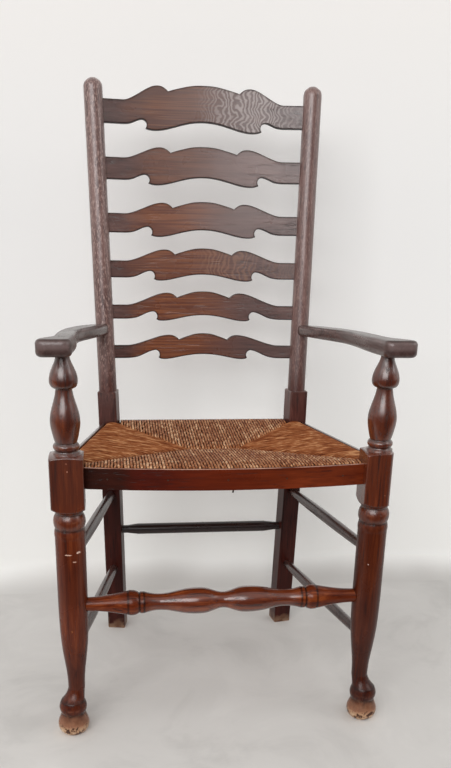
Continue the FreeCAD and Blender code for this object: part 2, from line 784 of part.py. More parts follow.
def slat(number):
    half = slat_half(number)
    place = slat_place(number)
    body = new_body(f"slat_{number}", place.Base, place.Rotation)
    thickness = size("slat_thickness")
    crown = size(f"slat_{number}_crown")
    bow_radius = slat_radius(half)
    turn = math.asin(half / bow_radius) - size("slat_root") / bow_radius
    inner = bow_radius - thickness / 2
    outer = bow_radius + thickness / 2
    low = -along_set("slat_lobe_drop", number) - thickness
    board = add_sketch(body, "board", Placement(Vector(0, size("slat_bow") - bow_radius, low), Rotation()))
    outline(board, (-inner * math.sin(turn), inner * math.cos(turn)), [
        [(0, inner), (inner * math.sin(turn), inner * math.cos(turn))],
        [(outer * math.sin(turn), outer * math.cos(turn))],
        [(0, outer), (-outer * math.sin(turn), outer * math.cos(turn))],
    ])
    pad(body, board, crown + thickness - low)

    reach = half + thickness
    waste = add_sketch(body, "outline", frame(Vector(0, 0, 0), EAST, UP))
    outline(waste, *slat_outline(number, reach))
    rectangle(waste, (-reach - thickness, low - thickness), (reach + thickness, crown + 2 * thickness))
    pocket(body, waste, 4 * (size("slat_bow") + thickness), both_ways=True)
    end = size(f"slat_{number}_end")

    def on_top(edge, middle):
        raised = middle.z > end + size("slat_edge_radius") / 2 and abs(middle.x) < size("slat_shoulder_reach")
        return edge.Length > 2 * thickness and raised
    soften(body, "slat_edge_radius", on_top)
    return body


# Back posts: one bent piece each, square below the shoulder and round above it
def back_post(word, side):
    body = new_body(f"back_post_{word}", back_axis(side, 0))
    base = body.Placement.Base
    half = (size("leg_width") / 2, size("leg_depth") / 2)
    chamfer = size("back_block_chamfer")
    levels = (("foot", 0.0, 0.0), ("knee", size("knee_height"), 0.0),
              ("shoulder", BACK_BLOCK_TOP - chamfer, 0.0), ("block_top", BACK_BLOCK_TOP, chamfer))
    sections = []
    for name, level, cut in levels:
        section = add_sketch(body, name, Placement(back_axis(side, level) - base, leg_turn(side)))
        corner = (half[0] - cut, half[1] - cut)
        rectangle(section, (-corner[0], -corner[1]), corner, (size("leg_corner_radius"),) * 4)
        sections.append(section)
    loft(body, sections)

    foot = back_axis(side, BACK_BLOCK_TOP) - base
    top = back_axis(side, size("chair_height")) - base
    up = (top - foot).normalize()
    length = (top - foot).Length
    r = radius("back_post_diameter")
    dome = size("back_dome_height")
    sketch = add_sketch(body, "round_post", frame(foot, (EAST - up * up.x).normalize(), up))
    outline(sketch, (0, -half[1]), [
        [(r, -half[1])],
        [(r, length - dome)],
        [(r * 0.985, length - dome * 0.8), (r * 0.87, length - dome * 0.45), (r * 0.5, length - dome * 0.12),
         (0, length)],
    ], {2: ((0, 1), (-1, 0))})
    revolve(body, sketch)

    for number in SLATS:
        slat_end = size(f"slat_{number}_end")
        place = slat_place(number)
        turn = math.asin(slat_half(number) / slat_radius(slat_half(number)))
        inward = place.Rotation.multVec(Vector(-side * math.cos(turn), math.sin(turn), 0))
        centre = place.multVec(Vector(side * slat_half(number), 0, slat_end / 2)) - base
        mortise(body, f"slat_{number}_mortise", centre + inward * size("slat_root"), inward,
                place.Rotation.multVec(UP), size("slat_thickness"), slat_end, SOCKET_REACH)

    tenon_end = tail_tenon(side) + NORTH * size("tail_tenon_length") - base
    drill(body, "arm_socket", tenon_end, NORTH * -1, "tail_tenon_diameter", SOCKET_REACH)
    _, side_entry, direction = side_rail_line(side)
    rail_mortise(body, "side_rail_mortise", side_entry, direction * -1)
    inward = EAST * -side
    rail_mortise(body, "back_rail_mortise", back_rail_entry(side), inward)
    for tier in ("upper", "lower"):
        start, end = side_stretcher_ends(side, tier)
        direction = (start - end).normalize()
        bottom = end + direction * size("leg_root") - base
        drill(body, f"{tier}_stretcher_socket", bottom, direction, "stretcher_end_diameter", SOCKET_REACH)
    bottom = back_axis(side, size("back_stretcher_height")) + inward * size("leg_root") - base
    drill(body, "back_stretcher_socket", bottom, inward, "stretcher_end_diameter", SOCKET_REACH)
    return body


def back_rail_half():
    """Half length of the back rail between its shoulders."""
    inner_face = (leg_plan(-1, -1)[0] + leg_plan(-1, 1)[0]) / 2
    return inner_face - size("rail_thickness") / 2 * slope("leg_turn_angle") - size("leg_side_clearance")


def back_rail_entry(side):
    """Where the back rail's middle line enters a back leg."""
    return on_seat(side * back_rail_half(), size("seat_depth"), -RAIL_DROP)


def tail_tenon(side):
    """Where the arm's rear tenon leaves the arm's end face."""
    front_face = back_axis(side, ARM_LEVEL).y - radius("back_post_diameter") - size("arm_tail_gap")
    run = front_face - FRONT_Y
    under = ARM_LEVEL - size("arm_underside_slope") * run
    over = ARM_LEVEL + size("arm_thickness") - size("arm_top_slope") * run
    level = (under + over) / 2
    return Vector(back_axis(side, level).x + side * size("arm_tail_shift") / 2, front_face, level)


# Arms: curved in plan and flat, let over the front posts and tenoned into the back ones
# Each pair is a share of the arm's length and a share of its outward reach.
ARM_OUTER = [(0.0, 0.739), (0.08, 0.579), (0.16, 0.612), (0.33, 0.824), (0.48, 0.955), (0.59, 1.0),
             (0.67, 0.988), (0.77, 0.906), (0.85, 0.776), (0.93, 0.565)]
ARM_INNER = [(0.93, -0.259), (0.85, -0.176), (0.77, -0.071), (0.67, 0.071), (0.58, 0.179), (0.47, 0.165),
             (0.33, 0.007), (0.17, -0.224), (0.06, -0.329)]


def arm(word, side):
    body = new_body(f"arm_{word}", front_axis(side, ARM_LEVEL))
    tenon = tail_tenon(side) - body.Placement.Base
    tail = tenon.y
    line = Vector(tenon.x + side * size("arm_tail_shift") / 2, tail, 0)
    outward = Vector(line.y, -line.x, 0).normalize() * side
    nose = -size("arm_nose_reach")
    inner = size("arm_nose_inner")
    outer = size("arm_nose_outer")
    corner = size("arm_nose_corner")
    cut = corner * (1 - math.sqrt(0.5))
    half = size("arm_tail_width") / 2

    def beside(pairs):
        reach = size("arm_outward_reach")
        places = [line * share + outward * offset * reach for share, offset in pairs]
        return [(place.x, place.y) for place in places]

    blank = add_sketch(body, "plan", Placement(Vector(0, 0, -size("arm_thickness")), Rotation()))
    outline(blank, (side * (corner - inner), nose), [
        [(side * (outer - corner), nose)],
        [(side * (outer - cut), nose + cut), (side * outer, nose + corner)],
        beside(ARM_OUTER) + [(line.x + side * half, tail)],
        [(line.x - side * half, tail)],
        beside(ARM_INNER) + [(-side * inner, nose + corner)],
        [(side * (cut - inner), nose + cut), (side * (corner - inner), nose)],
    ], {2: ((0, 1), None), 4: (None, (0, -1))})
    pad(body, blank, 3 * size("arm_thickness"))

    margin = 2 * size("arm_thickness")
    ahead = nose - margin
    behind = tail + margin
    faces = (("underside", 0.0, "arm_underside_slope", -1),
             ("top", size("arm_thickness"), "arm_top_slope", 1))
    for name, level, fall, away in faces:
        at_front = level - size(fall) * ahead
        at_back = level - size(fall) * behind
        clear = level + away * 3 * margin
        wedge = add_sketch(body, name, frame(Vector(0, 0, 0), NORTH, UP))
        outline(wedge, (ahead, at_front), [[(behind, at_back)], [(behind, clear)], [(ahead, clear)]])
        pocket(body, wedge, 2 * tail, both_ways=True)

    def long_edge(edge, middle):
        spread = edge.Vertexes[0].Point - edge.Vertexes[-1].Point
        return abs(spread.z) < 0.8 * spread.Length and middle.y < tail - 0.01
    soften(body, "arm_edge_radius", long_edge)

    tenon_sketch = add_sketch(body, "tail_tenon", frame(tenon, EAST * -1, UP))
    circle(tenon_sketch, "tail_tenon_diameter")
    pad(body, tenon_sketch, size("tail_tenon_length"), "Sizes.tail_tenon_length")
    depth = size("arm_tenon_length") + size("fit_clearance")
    drill(body, "post_socket", UP * depth, UP * -1, "arm_tenon_diameter", 2 * depth)
    return body


# Stretchers: round rods whose ends go straight into bored sockets
def rod(label, start, end, start_root, end_root, alias="stretcher_diameter", taper=0):
    """Rod between two posts' axes, stopping short of each by a root: swelled, or even between tapers."""
    direction = (end - start).normalize()
    base = start + direction * start_root
    length = (end - start).Length - start_root - end_root
    body = new_body(label, base, frame(base, across_of(direction), direction).Rotation)
    end_radius = radius("stretcher_end_diameter")
    straight = size("stretcher_straight")
    last = (end_radius, length - straight)
    middle = [[(radius(alias), length / 2), last]]
    if taper:
        middle = [[(radius(alias), straight + taper)], [(radius(alias), last[1] - taper)], [last]]
    sketch = add_sketch(body, "profile")
    outline(sketch, (0, 0), [
        [(end_radius, 0)],
        [(end_radius, straight)],
        *middle,
        [(end_radius, length)],
        [(0, length)],
    ])
    revolve(body, sketch)
    return body


FRONT_STRETCHER_BULB = [(0.12, 0.05), (0.35, 0.38), (0.6, 0.8), (0.82, 0.97)]
FRONT_STRETCHER_FALL = [(0.18, 0.05), (0.4, 0.26), (0.65, 0.68), (0.85, 0.94)]
FRONT_STRETCHER_NECK = [(0.35, 0.12), (0.7, 0.5)]
FRONT_STRETCHER_END = [(0.2, 0.3), (0.42, 0.6), (0.66, 0.85), (0.82, 0.95)]


def front_stretcher():
    start = front_axis(LEFT, size("front_stretcher_height"))
    body = new_body("front_stretcher", Vector(0, start.y, start.z), frame(start, UP, EAST).Rotation)
    waist = (radius("front_stretcher_waist_diameter"), 0.0)
    bulb = (radius("front_stretcher_bulb_diameter"), size("front_stretcher_bulb_reach"))
    neck = (radius("front_stretcher_neck_diameter"), size("front_stretcher_neck_reach"))
    ring_radius = radius("front_stretcher_ring_diameter")
    ring = size("front_stretcher_ring_reach")
    ring_end = ring + size("front_stretcher_ring_width")
    groove = (radius("front_stretcher_groove_diameter"), ring_end + size("front_stretcher_groove_width"))
    bead_radius = radius("front_stretcher_bead_diameter")
    bead = size("front_stretcher_bead_reach")
    bead_end = bead + size("front_stretcher_bead_width") / 2
    end_radius = radius("front_stretcher_end_diameter")
    length = size("front_spacing") / 2 - size("column_root")
    taper_end = length - size("front_stretcher_straight")
    right = [
        swell(waist, bulb, FRONT_STRETCHER_BULB),
        swell(bulb, neck, FRONT_STRETCHER_FALL),
        swell(neck, (ring_radius, ring), FRONT_STRETCHER_NECK),
        [(ring_radius, ring_end)],
        [groove],
        [(bead_radius, bead), (bead_radius * 0.965, bead_end)],
        swell((bead_radius * 0.965, bead_end), (end_radius, taper_end), FRONT_STRETCHER_END),
        [(end_radius, length)],
    ]
    sketch = add_sketch(body, "profile")
    back = [[(x, -y) for x, y in step] for step in right]
    points = [waist] + [step[-1] for step in back]
    left = [back[index][-2::-1] + [points[index]] for index in reversed(range(len(back)))]
    outline(sketch, (0, -length), [[(end_radius, -length)]] + left + right + [[(0, length)]])
    revolve(body, sketch)
    return body


# Seat frame: four rails under the rush, tenoned into the blocks and the back legs
def seat_body(label):
    """Body whose own frame is the seat plane: across, backward and up."""
    return new_body(label, SEAT.Base, SEAT.Rotation)


def seat_slab(body, name, start, steps, rise, height):
    """Slab drawn in plan on the seat plane, its top at a rise."""
    sketch = add_sketch(body, name, Placement(Vector(0, 0, rise - height), Rotation()))
    outline(sketch, start, steps)
    return pad(body, sketch, height)


def front_rail():
    body = seat_body("seat_rail_front")
    outer = bow_arc(BLOCK_FACE_X, RAIL_INSET - size("rail_thickness") / 2)
    inner = bow_arc(BLOCK_FACE_X, RAIL_INSET + size("rail_thickness") / 2)
    top = -size("rush_thickness")
    seat_slab(body, "rail", outer[0], [[outer[1], outer[2]], [inner[2]], [inner[1], inner[0]]],
              top, size("rail_height"))
    depth = bow_depth(BLOCK_FACE_X, RAIL_INSET)
    half = size("rail_tenon_thickness") / 2
    for word, side in SIDES.items():
        root = side * BLOCK_FACE_X
        end = root + side * size("rail_tenon_length")
        tenon_top = size("rail_tenon_height") / 2 - RAIL_DROP
        seat_slab(body, f"tenon_{word}", (root, depth - half),
                  [[(end, depth - half)], [(end, depth + half)], [(root, depth + half)]],
                  tenon_top, size("rail_tenon_height"))
    return body


def straight_rail(word, start, end, gap):
    """Square rail between two entries, its shoulders a gap short of them and a tenon through each."""
    direction = (end - start).normalize()
    body = new_body(f"seat_rail_{word}", start, frame(start, direction.cross(SEAT_UP), direction).Rotation)
    length = (end - start).Length
    reach = size("rail_tenon_length")
    for part, beyond in (("rail", -gap), ("rail_tenon", reach)):
        half = size(f"{part}_thickness") / 2
        height = size(f"{part}_height")
        sketch = add_sketch(body, part, Placement(UP * -height / 2, Rotation()))
        rectangle(sketch, (-half, -beyond), (half, length + beyond))
        pad(body, sketch, height, f"Sizes.{part}_height")
    return body


def side_rail(word, side):
    start, end, _ = side_rail_line(side)
    return straight_rail(word, start, end, size("rail_shoulder_gap"))


def back_rail():
    return straight_rail("back", back_rail_entry(LEFT), back_rail_entry(RIGHT), 0.0)


# Edging strips: thin laths over the outer faces of the rush, each held by small brads
REAR_DEPTH = size("seat_depth") + size("rail_thickness") / 2 + size("rush_thickness")
SIDE_STRIP_TOP = -size("side_strip_drop")
SIDE_STRIP_END = BLOCK_HALF_DEPTH + size("rush_clearance") + RUSH_HEIGHT * slope("seat_slope_angle")
BACK_STRIP_FACE = REAR_DEPTH + size("rush_clearance") + size("strip_thickness")


def brad_places():
    """Where each brad enters a strip's outer face, and the way it is driven, by strip."""
    spacing = size("brad_spacing")
    front_rise = -size("strip_drop") - size("strip_height") / 2
    rise = SIDE_STRIP_TOP - size("side_strip_height") / 2
    places = {"front": [], "back": [], "left": [], "right": []}
    for step in (-2, -1, 0, 1, 2):
        x = step * spacing
        face = Vector(x, bow_depth(x, 0.0), front_rise)
        places["front"].append((face, (Vector(0, BOW_CENTRE, front_rise) - face).normalize()))
    taper = (side_x(LEG_FRONT) - side_x(0)) / LEG_FRONT
    for word, side in SIDES.items():
        for step in (-1, 0, 1):
            depth = size("seat_depth") / 2 + step * spacing
            inward = Vector(-side, taper, 0).normalize()
            places[word].append((Vector(side * side_x(depth), depth, rise), inward))
    for step in (-1, 0, 1):
        places["back"].append((Vector(step * spacing, BACK_STRIP_FACE, rise), NORTH * -1))
    return places


def brad_holes(body, words):
    """Drills the holes of some strips' brads through a body drawn on the seat plane."""
    depth = size("brad_length") + size("rush_clearance")
    for word in words:
        for number, (face, inward) in enumerate(brad_places()[word], start=1):
            drill(body, f"{word}_brad_hole_{number}", face + inward * depth, inward * -1,
                  "brad_diameter", 2 * depth)


def straight_strip(word, points):
    body = seat_body(f"edging_strip_{word}")
    steps = [[pair] for pair in points[1:]]
    seat_slab(body, "lath", points[0], steps, SIDE_STRIP_TOP, size("side_strip_height"))
    soften(body, "strip_edge_radius", lambda edge, middle: edge.Length > size("seat_depth") / 2)
    brad_holes(body, [word])
    return body


def front_strip():
    body = seat_body("edging_strip_front")
    outer = bow_arc(BLOCK_FACE_X, 0.0)
    inner = bow_arc(BLOCK_FACE_X, size("strip_thickness"))
    seat_slab(body, "lath", outer[0], [[outer[1], outer[2]], [inner[2]], [inner[1], inner[0]]],
              -size("strip_drop"), size("strip_height"))
    brad_holes(body, ["front"])
    return body


def side_strip(word, side):
    inset = size("strip_thickness")
    ends = [(side_x(SIDE_STRIP_END), SIDE_STRIP_END), (side_x(SIDE_STRIP_END, inset), SIDE_STRIP_END),
            side_meets_leg(inset, size("rush_clearance")), side_meets_leg(0.0, size("rush_clearance"))]
    return straight_strip(word, [(side * x, depth) for x, depth in ends])


def back_strip():
    half = back_rail_half() - size("back_strip_gap")
    low = REAR_DEPTH + size("rush_clearance")
    high = BACK_STRIP_FACE
    return straight_strip("back", [(-half, low), (half, low), (half, high), (-half, high)])


def strip_brads():
    body = seat_body("strip_brads")
    for word, places in brad_places().items():
        for number, (face, inward) in enumerate(places, start=1):
            side = across_of(inward)
            sketch = add_sketch(body, f"{word}_{number}", frame(face, side, inward.cross(side)))
            circle(sketch, "brad_diameter")
            pad(body, sketch, size("brad_length"), "Sizes.brad_length")
    return body


# Rush: one woven seat wrapped over the four rails, dished to a ridge in the middle
def rush_seat():
    body = seat_body("rush_seat")
    clear = size("rush_clearance")
    inset = size("strip_thickness") + clear
    front_half = BLOCK_FACE_X - clear
    front = bow_arc(front_half, inset)
    inner_front = leg_plan(-1, -1, clear, size("leg_side_clearance"))
    inner_rear = leg_plan(-1, 1, clear, size("leg_side_clearance"))
    share = (REAR_DEPTH - inner_front[1]) / (inner_rear[1] - inner_front[1])
    rear_x = inner_front[0] + (inner_rear[0] - inner_front[0]) * share
    corners = [(front_half, SIDE_STRIP_END), (side_x(SIDE_STRIP_END, inset), SIDE_STRIP_END),
               side_meets_leg(inset, clear), inner_front, (rear_x, REAR_DEPTH)]
    other_side = [(-x, depth) for x, depth in reversed(corners)]
    seat_slab(body, "rush", front[0], [[front[1], front[2]]] + [[pair] for pair in corners + other_side],
              0.0, RUSH_HEIGHT)
    soften(body, "rush_edge_radius", lambda edge, middle: edge.Length > size("seat_depth") / 2)

    half = size("rail_thickness") / 2 + clear
    channel_top = clear - size("rush_thickness")
    channels = add_sketch(body, "channels", Placement(UP * channel_top, Rotation()))
    outer = bow_arc(BLOCK_FACE_X, RAIL_INSET - half)
    inner = bow_arc(BLOCK_FACE_X, RAIL_INSET + half)
    outline(channels, outer[0], [[outer[1], outer[2]], [inner[2]], [inner[1], inner[0]]])
    reach = back_rail_half() + size("rail_shoulder_gap")
    rectangle(channels, (-reach, size("seat_depth") - half), (reach, size("seat_depth") + half))
    for side in SIDES.values():
        start = Vector(side * side_x(BLOCK_HALF_DEPTH, RAIL_INSET), BLOCK_HALF_DEPTH, 0)
        x, depth = side_meets_leg(RAIL_INSET, 0.0)
        end = Vector(side * x, depth, 0)
        along = (end - start).normalize()
        start = start - along * size("rail_shoulder_gap")
        across = across_of(along) * half
        pairs = [(place.x, place.y) for place in (start + across, end + across, end - across, start - across)]
        outline(channels, pairs[0], [[pair] for pair in pairs[1:]])
    pocket(body, channels, size("rail_height") + 2 * clear)

    lip = size("rush_lip")
    low_x = BLOCK_FACE_X - lip
    high_x = back_rail_half() - lip
    low_depth = SIDE_STRIP_END - lip / 2
    high_depth = size("seat_depth") - lip
    rim = add_sketch(body, "dish_rim")
    outline(rim, (-low_x, low_depth), [[(low_x, low_depth)], [(high_x, high_depth)], [(-high_x, high_depth)]])
    ridge = add_sketch(body, "dish_ridge", Placement(UP * -size("rush_dish"), Rotation()))
    half = size("rush_ridge_length") / 2
    middle = size("seat_depth") / 2
    rectangle(ridge, (-half, middle - 1), (half, middle + 1))
    loft(body, [rim, ridge], cut=True)
    brad_holes(body, ["front", "back", "left", "right"])
    return body


bodies = []
for word, side in SIDES.items():
    bodies += [front_post(word, side), back_post(word, side), arm(word, side)]
    bodies += [side_rail(word, side), side_strip(word, side)]
    for tier in ("upper", "lower"):
        start, end = side_stretcher_ends(side, tier)
        bodies.append(rod(f"side_stretcher_{tier}_{word}", start, end, size("column_root"), size("leg_root")))
bodies += [slat(number) for number in SLATS]
ends = [back_axis(side, size("back_stretcher_height")) for side in (LEFT, RIGHT)]
bodies.append(rod("back_stretcher", ends[0], ends[1], size("leg_root"), size("leg_root"),
                  "back_stretcher_diameter", size("back_stretcher_taper")))
bodies += [front_stretcher(), front_rail(), back_rail(), front_strip(), back_strip()]
bodies += [rush_seat(), strip_brads()]
doc.recompute()

for item in doc.Objects:
    if "Invalid" in item.State or "Error" in item.State:
        raise RuntimeError(f"{item.Label}: {item.State}")
os.makedirs("parts", exist_ok=True)
for body in bodies:
    shape = body.Shape
    if shape.isNull() or not shape.isValid():
        raise RuntimeError(f"{body.Label} has no sound shape")
    shape.exportStep(f"parts/{body.Label}.step")
    print(body.Label, len(shape.Solids), round(shape.Volume))
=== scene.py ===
import math
import random

import bpy
from mathutils import Matrix, Vector


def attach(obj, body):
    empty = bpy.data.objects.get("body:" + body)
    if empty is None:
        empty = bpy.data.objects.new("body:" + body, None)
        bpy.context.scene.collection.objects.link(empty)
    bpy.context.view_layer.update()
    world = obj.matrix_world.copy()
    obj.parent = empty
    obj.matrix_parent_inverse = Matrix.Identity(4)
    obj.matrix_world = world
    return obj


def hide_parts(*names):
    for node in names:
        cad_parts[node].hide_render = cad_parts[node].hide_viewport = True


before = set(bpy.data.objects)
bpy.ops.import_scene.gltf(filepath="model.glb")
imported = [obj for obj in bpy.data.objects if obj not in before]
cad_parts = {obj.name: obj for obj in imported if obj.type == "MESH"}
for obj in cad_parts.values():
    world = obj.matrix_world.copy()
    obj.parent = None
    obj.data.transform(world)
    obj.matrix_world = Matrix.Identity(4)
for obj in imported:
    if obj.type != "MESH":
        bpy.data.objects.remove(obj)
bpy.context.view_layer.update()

# Camera: held 0.87 m above the floor and 1.5 m in front of the chair's middle, a little to its left, and
# tipped down. The shift keeps the chair's feet and its top slat both in the frame.
EYE = Vector((-0.1728, -1.4882, 0.8706))
YAW, PITCH, ROLL = math.radians(7.693), math.radians(20.4), math.radians(-1.429)
ahead = Vector((math.sin(YAW) * math.cos(PITCH), math.cos(YAW) * math.cos(PITCH), -math.sin(PITCH)))
level = Vector((math.cos(YAW), -math.sin(YAW), 0.0))
down = ahead.cross(level)
right = level * math.cos(ROLL) + down * math.sin(ROLL)
upward = level * math.sin(ROLL) - down * math.cos(ROLL)
lens = bpy.data.cameras.new("camera")
lens.lens = 39.42
lens.sensor_width = 36.0
lens.shift_y = 0.174
camera = bpy.data.objects.new("camera", lens)
bpy.context.scene.collection.objects.link(camera)
camera.matrix_world = Matrix.Translation(EYE) @ Matrix((right, upward, -ahead)).transposed().to_4x4()
bpy.context.scene.camera = camera
bpy.context.scene.view_settings.view_transform = "Standard"


# Floor: one very large pale sheet, mottled by use. Light that bounces off its front part, where the
# room's own floor begins, is dim, so that upright wood stays rich in colour.
FLOOR_SIZE = 80.0


def tone(red, green, blue):
    """A colour as a painter's card gives it, from 0 to 255, turned to linear light."""
    parts = []
    for value in (red, green, blue):
        share = value / 255
        parts.append(share / 12.92 if share <= 0.04045 else ((share + 0.055) / 1.055) ** 2.4)
    return (*parts, 1.0)


class Wiring:
    """A tree of nodes that are added one by one and wired as they are made."""

    def __init__(self, tree):
        self.nodes = tree.nodes
        self.links = tree.links

    def put(self, kind, inputs=None, **settings):
        node = self.nodes.new("ShaderNode" + kind)
        for key, value in settings.items():
            setattr(node, key, value)
        for key, value in (inputs or {}).items():
            self.wire(node.inputs[key], value)
        return node.outputs[0]

    def read(self, kind, output, inputs=None, **settings):
        """Adds a node and returns the output that has this name."""
        self.put(kind, inputs, **settings)
        return self.nodes[-1].outputs[output]

    def wire(self, socket, value):
        if isinstance(value, bpy.types.NodeSocket):
            self.links.new(value, socket)
        else:
            socket.default_value = value

    def work(self, operation, *values):
        """A sum on one to three numbers."""
        return self.put("Math", dict(enumerate(values)), operation=operation)

    def spread(self, value, low=0.0, high=1.0, at_low=0.0, at_high=1.0, **settings):
        """Turns the range from low to high into the range from at_low to at_high."""
        return self.put("MapRange", {"Value": value, "From Min": low, "From Max": high,
                                     "To Min": at_low, "To Max": at_high}, **settings)

    def ramp(self, value, stops, smooth=True):
        node = self.nodes.new("ShaderNodeValToRGB")
        self.wire(node.inputs[0], value)
        band = node.color_ramp
        band.interpolation = "EASE" if smooth else "LINEAR"
        while len(band.elements) < len(stops):
            band.elements.new(0.5)
        for element, (place, colour) in zip(band.elements, stops):
            element.position = place
            element.color = colour if isinstance(colour, tuple) else (colour, colour, colour, 1.0)
        return node.outputs[0]

    def split(self, vector, axis):
        return self.read("SeparateXYZ", axis, {0: vector})

    def mix(self, factor, first, second, blend="MIX"):
        node = self.nodes.new("ShaderNodeMix")
        node.data_type = "RGBA"
        node.blend_type = blend
        self.wire(node.inputs[0], factor)
        self.wire(node.inputs[6], first)
        self.wire(node.inputs[7], second)
        return node.outputs[2]

    def stain(self, factor, colour, by):
        """Multiplies a colour by another one, as far as the factor says."""
        return self.mix(factor, colour, self.mix(1.0, colour, by, blend="MULTIPLY"))


class Shade(Wiring):
    """A material made that way."""

    def __init__(self, name):
        self.material = bpy.data.materials.new(name)
        self.material.use_nodes = True
        super().__init__(self.material.node_tree)
        self.surface = self.nodes["Principled BSDF"]

    def give(self, socket, value):
        self.wire(self.surface.inputs[socket], value)

    def bump(self, height, distance, strength, worn=0.0):
        """Surface relief. Worn is the radius to which sharp edges have been rubbed round."""
        inputs = {"Height": height, "Distance": distance, "Strength": strength}
        if worn:
            inputs["Normal"] = self.put("Bevel", {"Radius": worn}, samples=8)
        relief = self.put("Bump", inputs)
        self.give("Normal", relief)
        self.give("Coat Normal", relief)


bpy.ops.object.select_all(action="DESELECT")
bpy.ops.mesh.primitive_plane_add(size=FLOOR_SIZE, location=(0.0, 0.0, 0.0))
floor = bpy.context.object
floor.name = "floor"
cloth = Shade("floor_sheet")
place = cloth.read("TexCoord", "Object")
drift = cloth.put("TexNoise", {"Vector": place, "Scale": 5.0, "Detail": 7.0, "Roughness": 0.6,
                               "Distortion": 0.6})
sheet_colour = cloth.ramp(drift, [(0.32, tone(211, 208, 204)), (0.5, tone(221, 218, 214)),
                                  (0.68, tone(227, 224, 220))])
depth = cloth.split(place, "Y")
# Painted shade: the sheet is painted a little darker towards the front.
sheet_colour = cloth.stain(cloth.spread(depth, -0.75, -0.35, 1.0, 0.0), sheet_colour, tone(236, 236, 236))
near = cloth.spread(depth, -0.8, -0.5, 1.0, 0.0, interpolation_type="SMOOTHSTEP")
unseen = cloth.work("SUBTRACT", 1.0, cloth.read("LightPath", "Is Camera Ray"))
cloth.give("Base Color", cloth.mix(cloth.work("MULTIPLY", unseen, near), sheet_colour, tone(70, 62, 56)))
cloth.give("Roughness", 0.85)
cloth.give("Specular IOR Level", 0.2)
floor.data.materials.append(cloth.material)

# Wall: a pale painted wall that meets the floor in a soft cove just behind the chair. Only the eye in
# front of it sees it, and it takes the chair's soft shadow. Its colour is painted darker in the cove and
# paler up high, and it glows for the eye alone, less low down and more to the right: painted light.
WALL_REACH = 38.0
COVE = [(0.35, 0.0004), (0.368, 0.0016), (0.386, 0.006), (0.402, 0.015), (0.413, 0.028), (0.419, 0.044),
        (0.421, 0.062), (0.421, 8.0)]
COVE_TOP = 0.06
corners = [(x, depth, height) for depth, height in COVE for x in (-WALL_REACH, WALL_REACH)]
strips = [(2 * row, 2 * row + 1, 2 * row + 3, 2 * row + 2) for row in range(len(COVE) - 1)]
sheet = bpy.data.meshes.new("wall")
sheet.from_pydata(corners, [], strips)
sheet.shade_smooth()
wall = bpy.data.objects.new("wall", sheet)
bpy.context.scene.collection.objects.link(wall)
for ray in ("diffuse", "glossy", "transmission", "volume_scatter", "shadow"):
    setattr(wall, "visible_" + ray, False)
wall_paint_and_light = Shade("wall_paint_and_painted_light")
place = wall_paint_and_light.read("TexCoord", "Object")
cloud = wall_paint_and_light.put("TexNoise", {"Vector": place, "Scale": 1.6, "Detail": 3.0})
height = wall_paint_and_light.work("ADD", wall_paint_and_light.split(place, "Z"), wall_paint_and_light.work("MULTIPLY", cloud, 0.12))
# Painted shade and light: the wall's colour is darker in the cove and paler up high.
wall_paint_and_light.give("Base Color", wall_paint_and_light.ramp(wall_paint_and_light.spread(height, COVE_TOP, COVE_TOP + 2.0), [
    (0.0, tone(216, 213, 209)), (0.025, tone(236, 235, 232)), (0.4, tone(238, 237, 236)),
    (0.8, tone(246, 242, 238))]))
wall_paint_and_light.give("Roughness", 0.8)
wall_paint_and_light.give("Specular IOR Level", 0.1)
# Painted light: a glow that the eye alone sees, rising above the cove and stronger to the right.
wall_paint_and_light.give("Emission Color", tone(246, 246, 244))
across = wall_paint_and_light.spread(wall_paint_and_light.split(place, "X"), -0.6, 0.5, 0.13, 0.2)
painted_glow = wall_paint_and_light.spread(height, COVE_TOP, COVE_TOP + 0.05, 0.0, across)
wall_paint_and_light.give("Emission Strength", wall_paint_and_light.work("MULTIPLY", wall_paint_and_light.read("LightPath", "Is Camera Ray"), painted_glow))
one_sided = wall_paint_and_light.put("MixShader", {0: wall_paint_and_light.read("NewGeometry", "Backfacing"),
                                    1: wall_paint_and_light.surface.outputs[0], 2: wall_paint_and_light.put("BsdfTransparent")})
wall_paint_and_light.wire(wall_paint_and_light.nodes["Material Output"].inputs["Surface"], one_sided)
sheet.materials.append(wall_paint_and_light.material)

# Light: a pale room all round, dim low down behind the eye. One very broad window stands behind the eye
# and above it, one above the left shoulder and a weak one on the right. The pale backdrop is what the
# eye, gloss and glass see in the room's place.
ROOM_LIGHT, DIM_LIGHT = 0.58, 0.12
LAMPS_AIM = Vector((0.0, 0.0, 0.6))
room = bpy.data.worlds.new("room")
room.use_nodes = True
bpy.context.scene.world = room
sky = Wiring(room.node_tree)
toward = sky.read("TexCoord", "Generated")
low = sky.spread(sky.split(toward, "Z"), 0.28, 0.62, 1.0, 0.0, interpolation_type="SMOOTHSTEP")
front = sky.spread(sky.split(toward, "Y"), -0.75, -0.3, 1.0, 0.0, interpolation_type="SMOOTHSTEP")
shady = sky.work("MULTIPLY", low, front)
glow = sky.nodes["Background"]
glow.inputs["Color"].default_value = (1.0, 0.99, 0.98, 1.0)
sky.wire(glow.inputs["Strength"], sky.spread(shady, at_low=ROOM_LIGHT, at_high=DIM_LIGHT))
seen = sky.read("LightPath", "Is Camera Ray")
rays = sky.nodes[-1].outputs
paleness = sky.spread(sky.work("SUBTRACT", shady, seen), at_low=1.0, at_high=0.14)
backdrop = sky.put("Background", {"Color": tone(236, 234, 231), "Strength": paleness})
for kind in ("Is Glossy Ray", "Is Transmission Ray"):
    seen = sky.work("MAXIMUM", seen, rays[kind])
sky.wire(sky.nodes["World Output"].inputs["Surface"],
         sky.put("MixShader", {0: seen, 1: glow.outputs[0], 2: backdrop}))
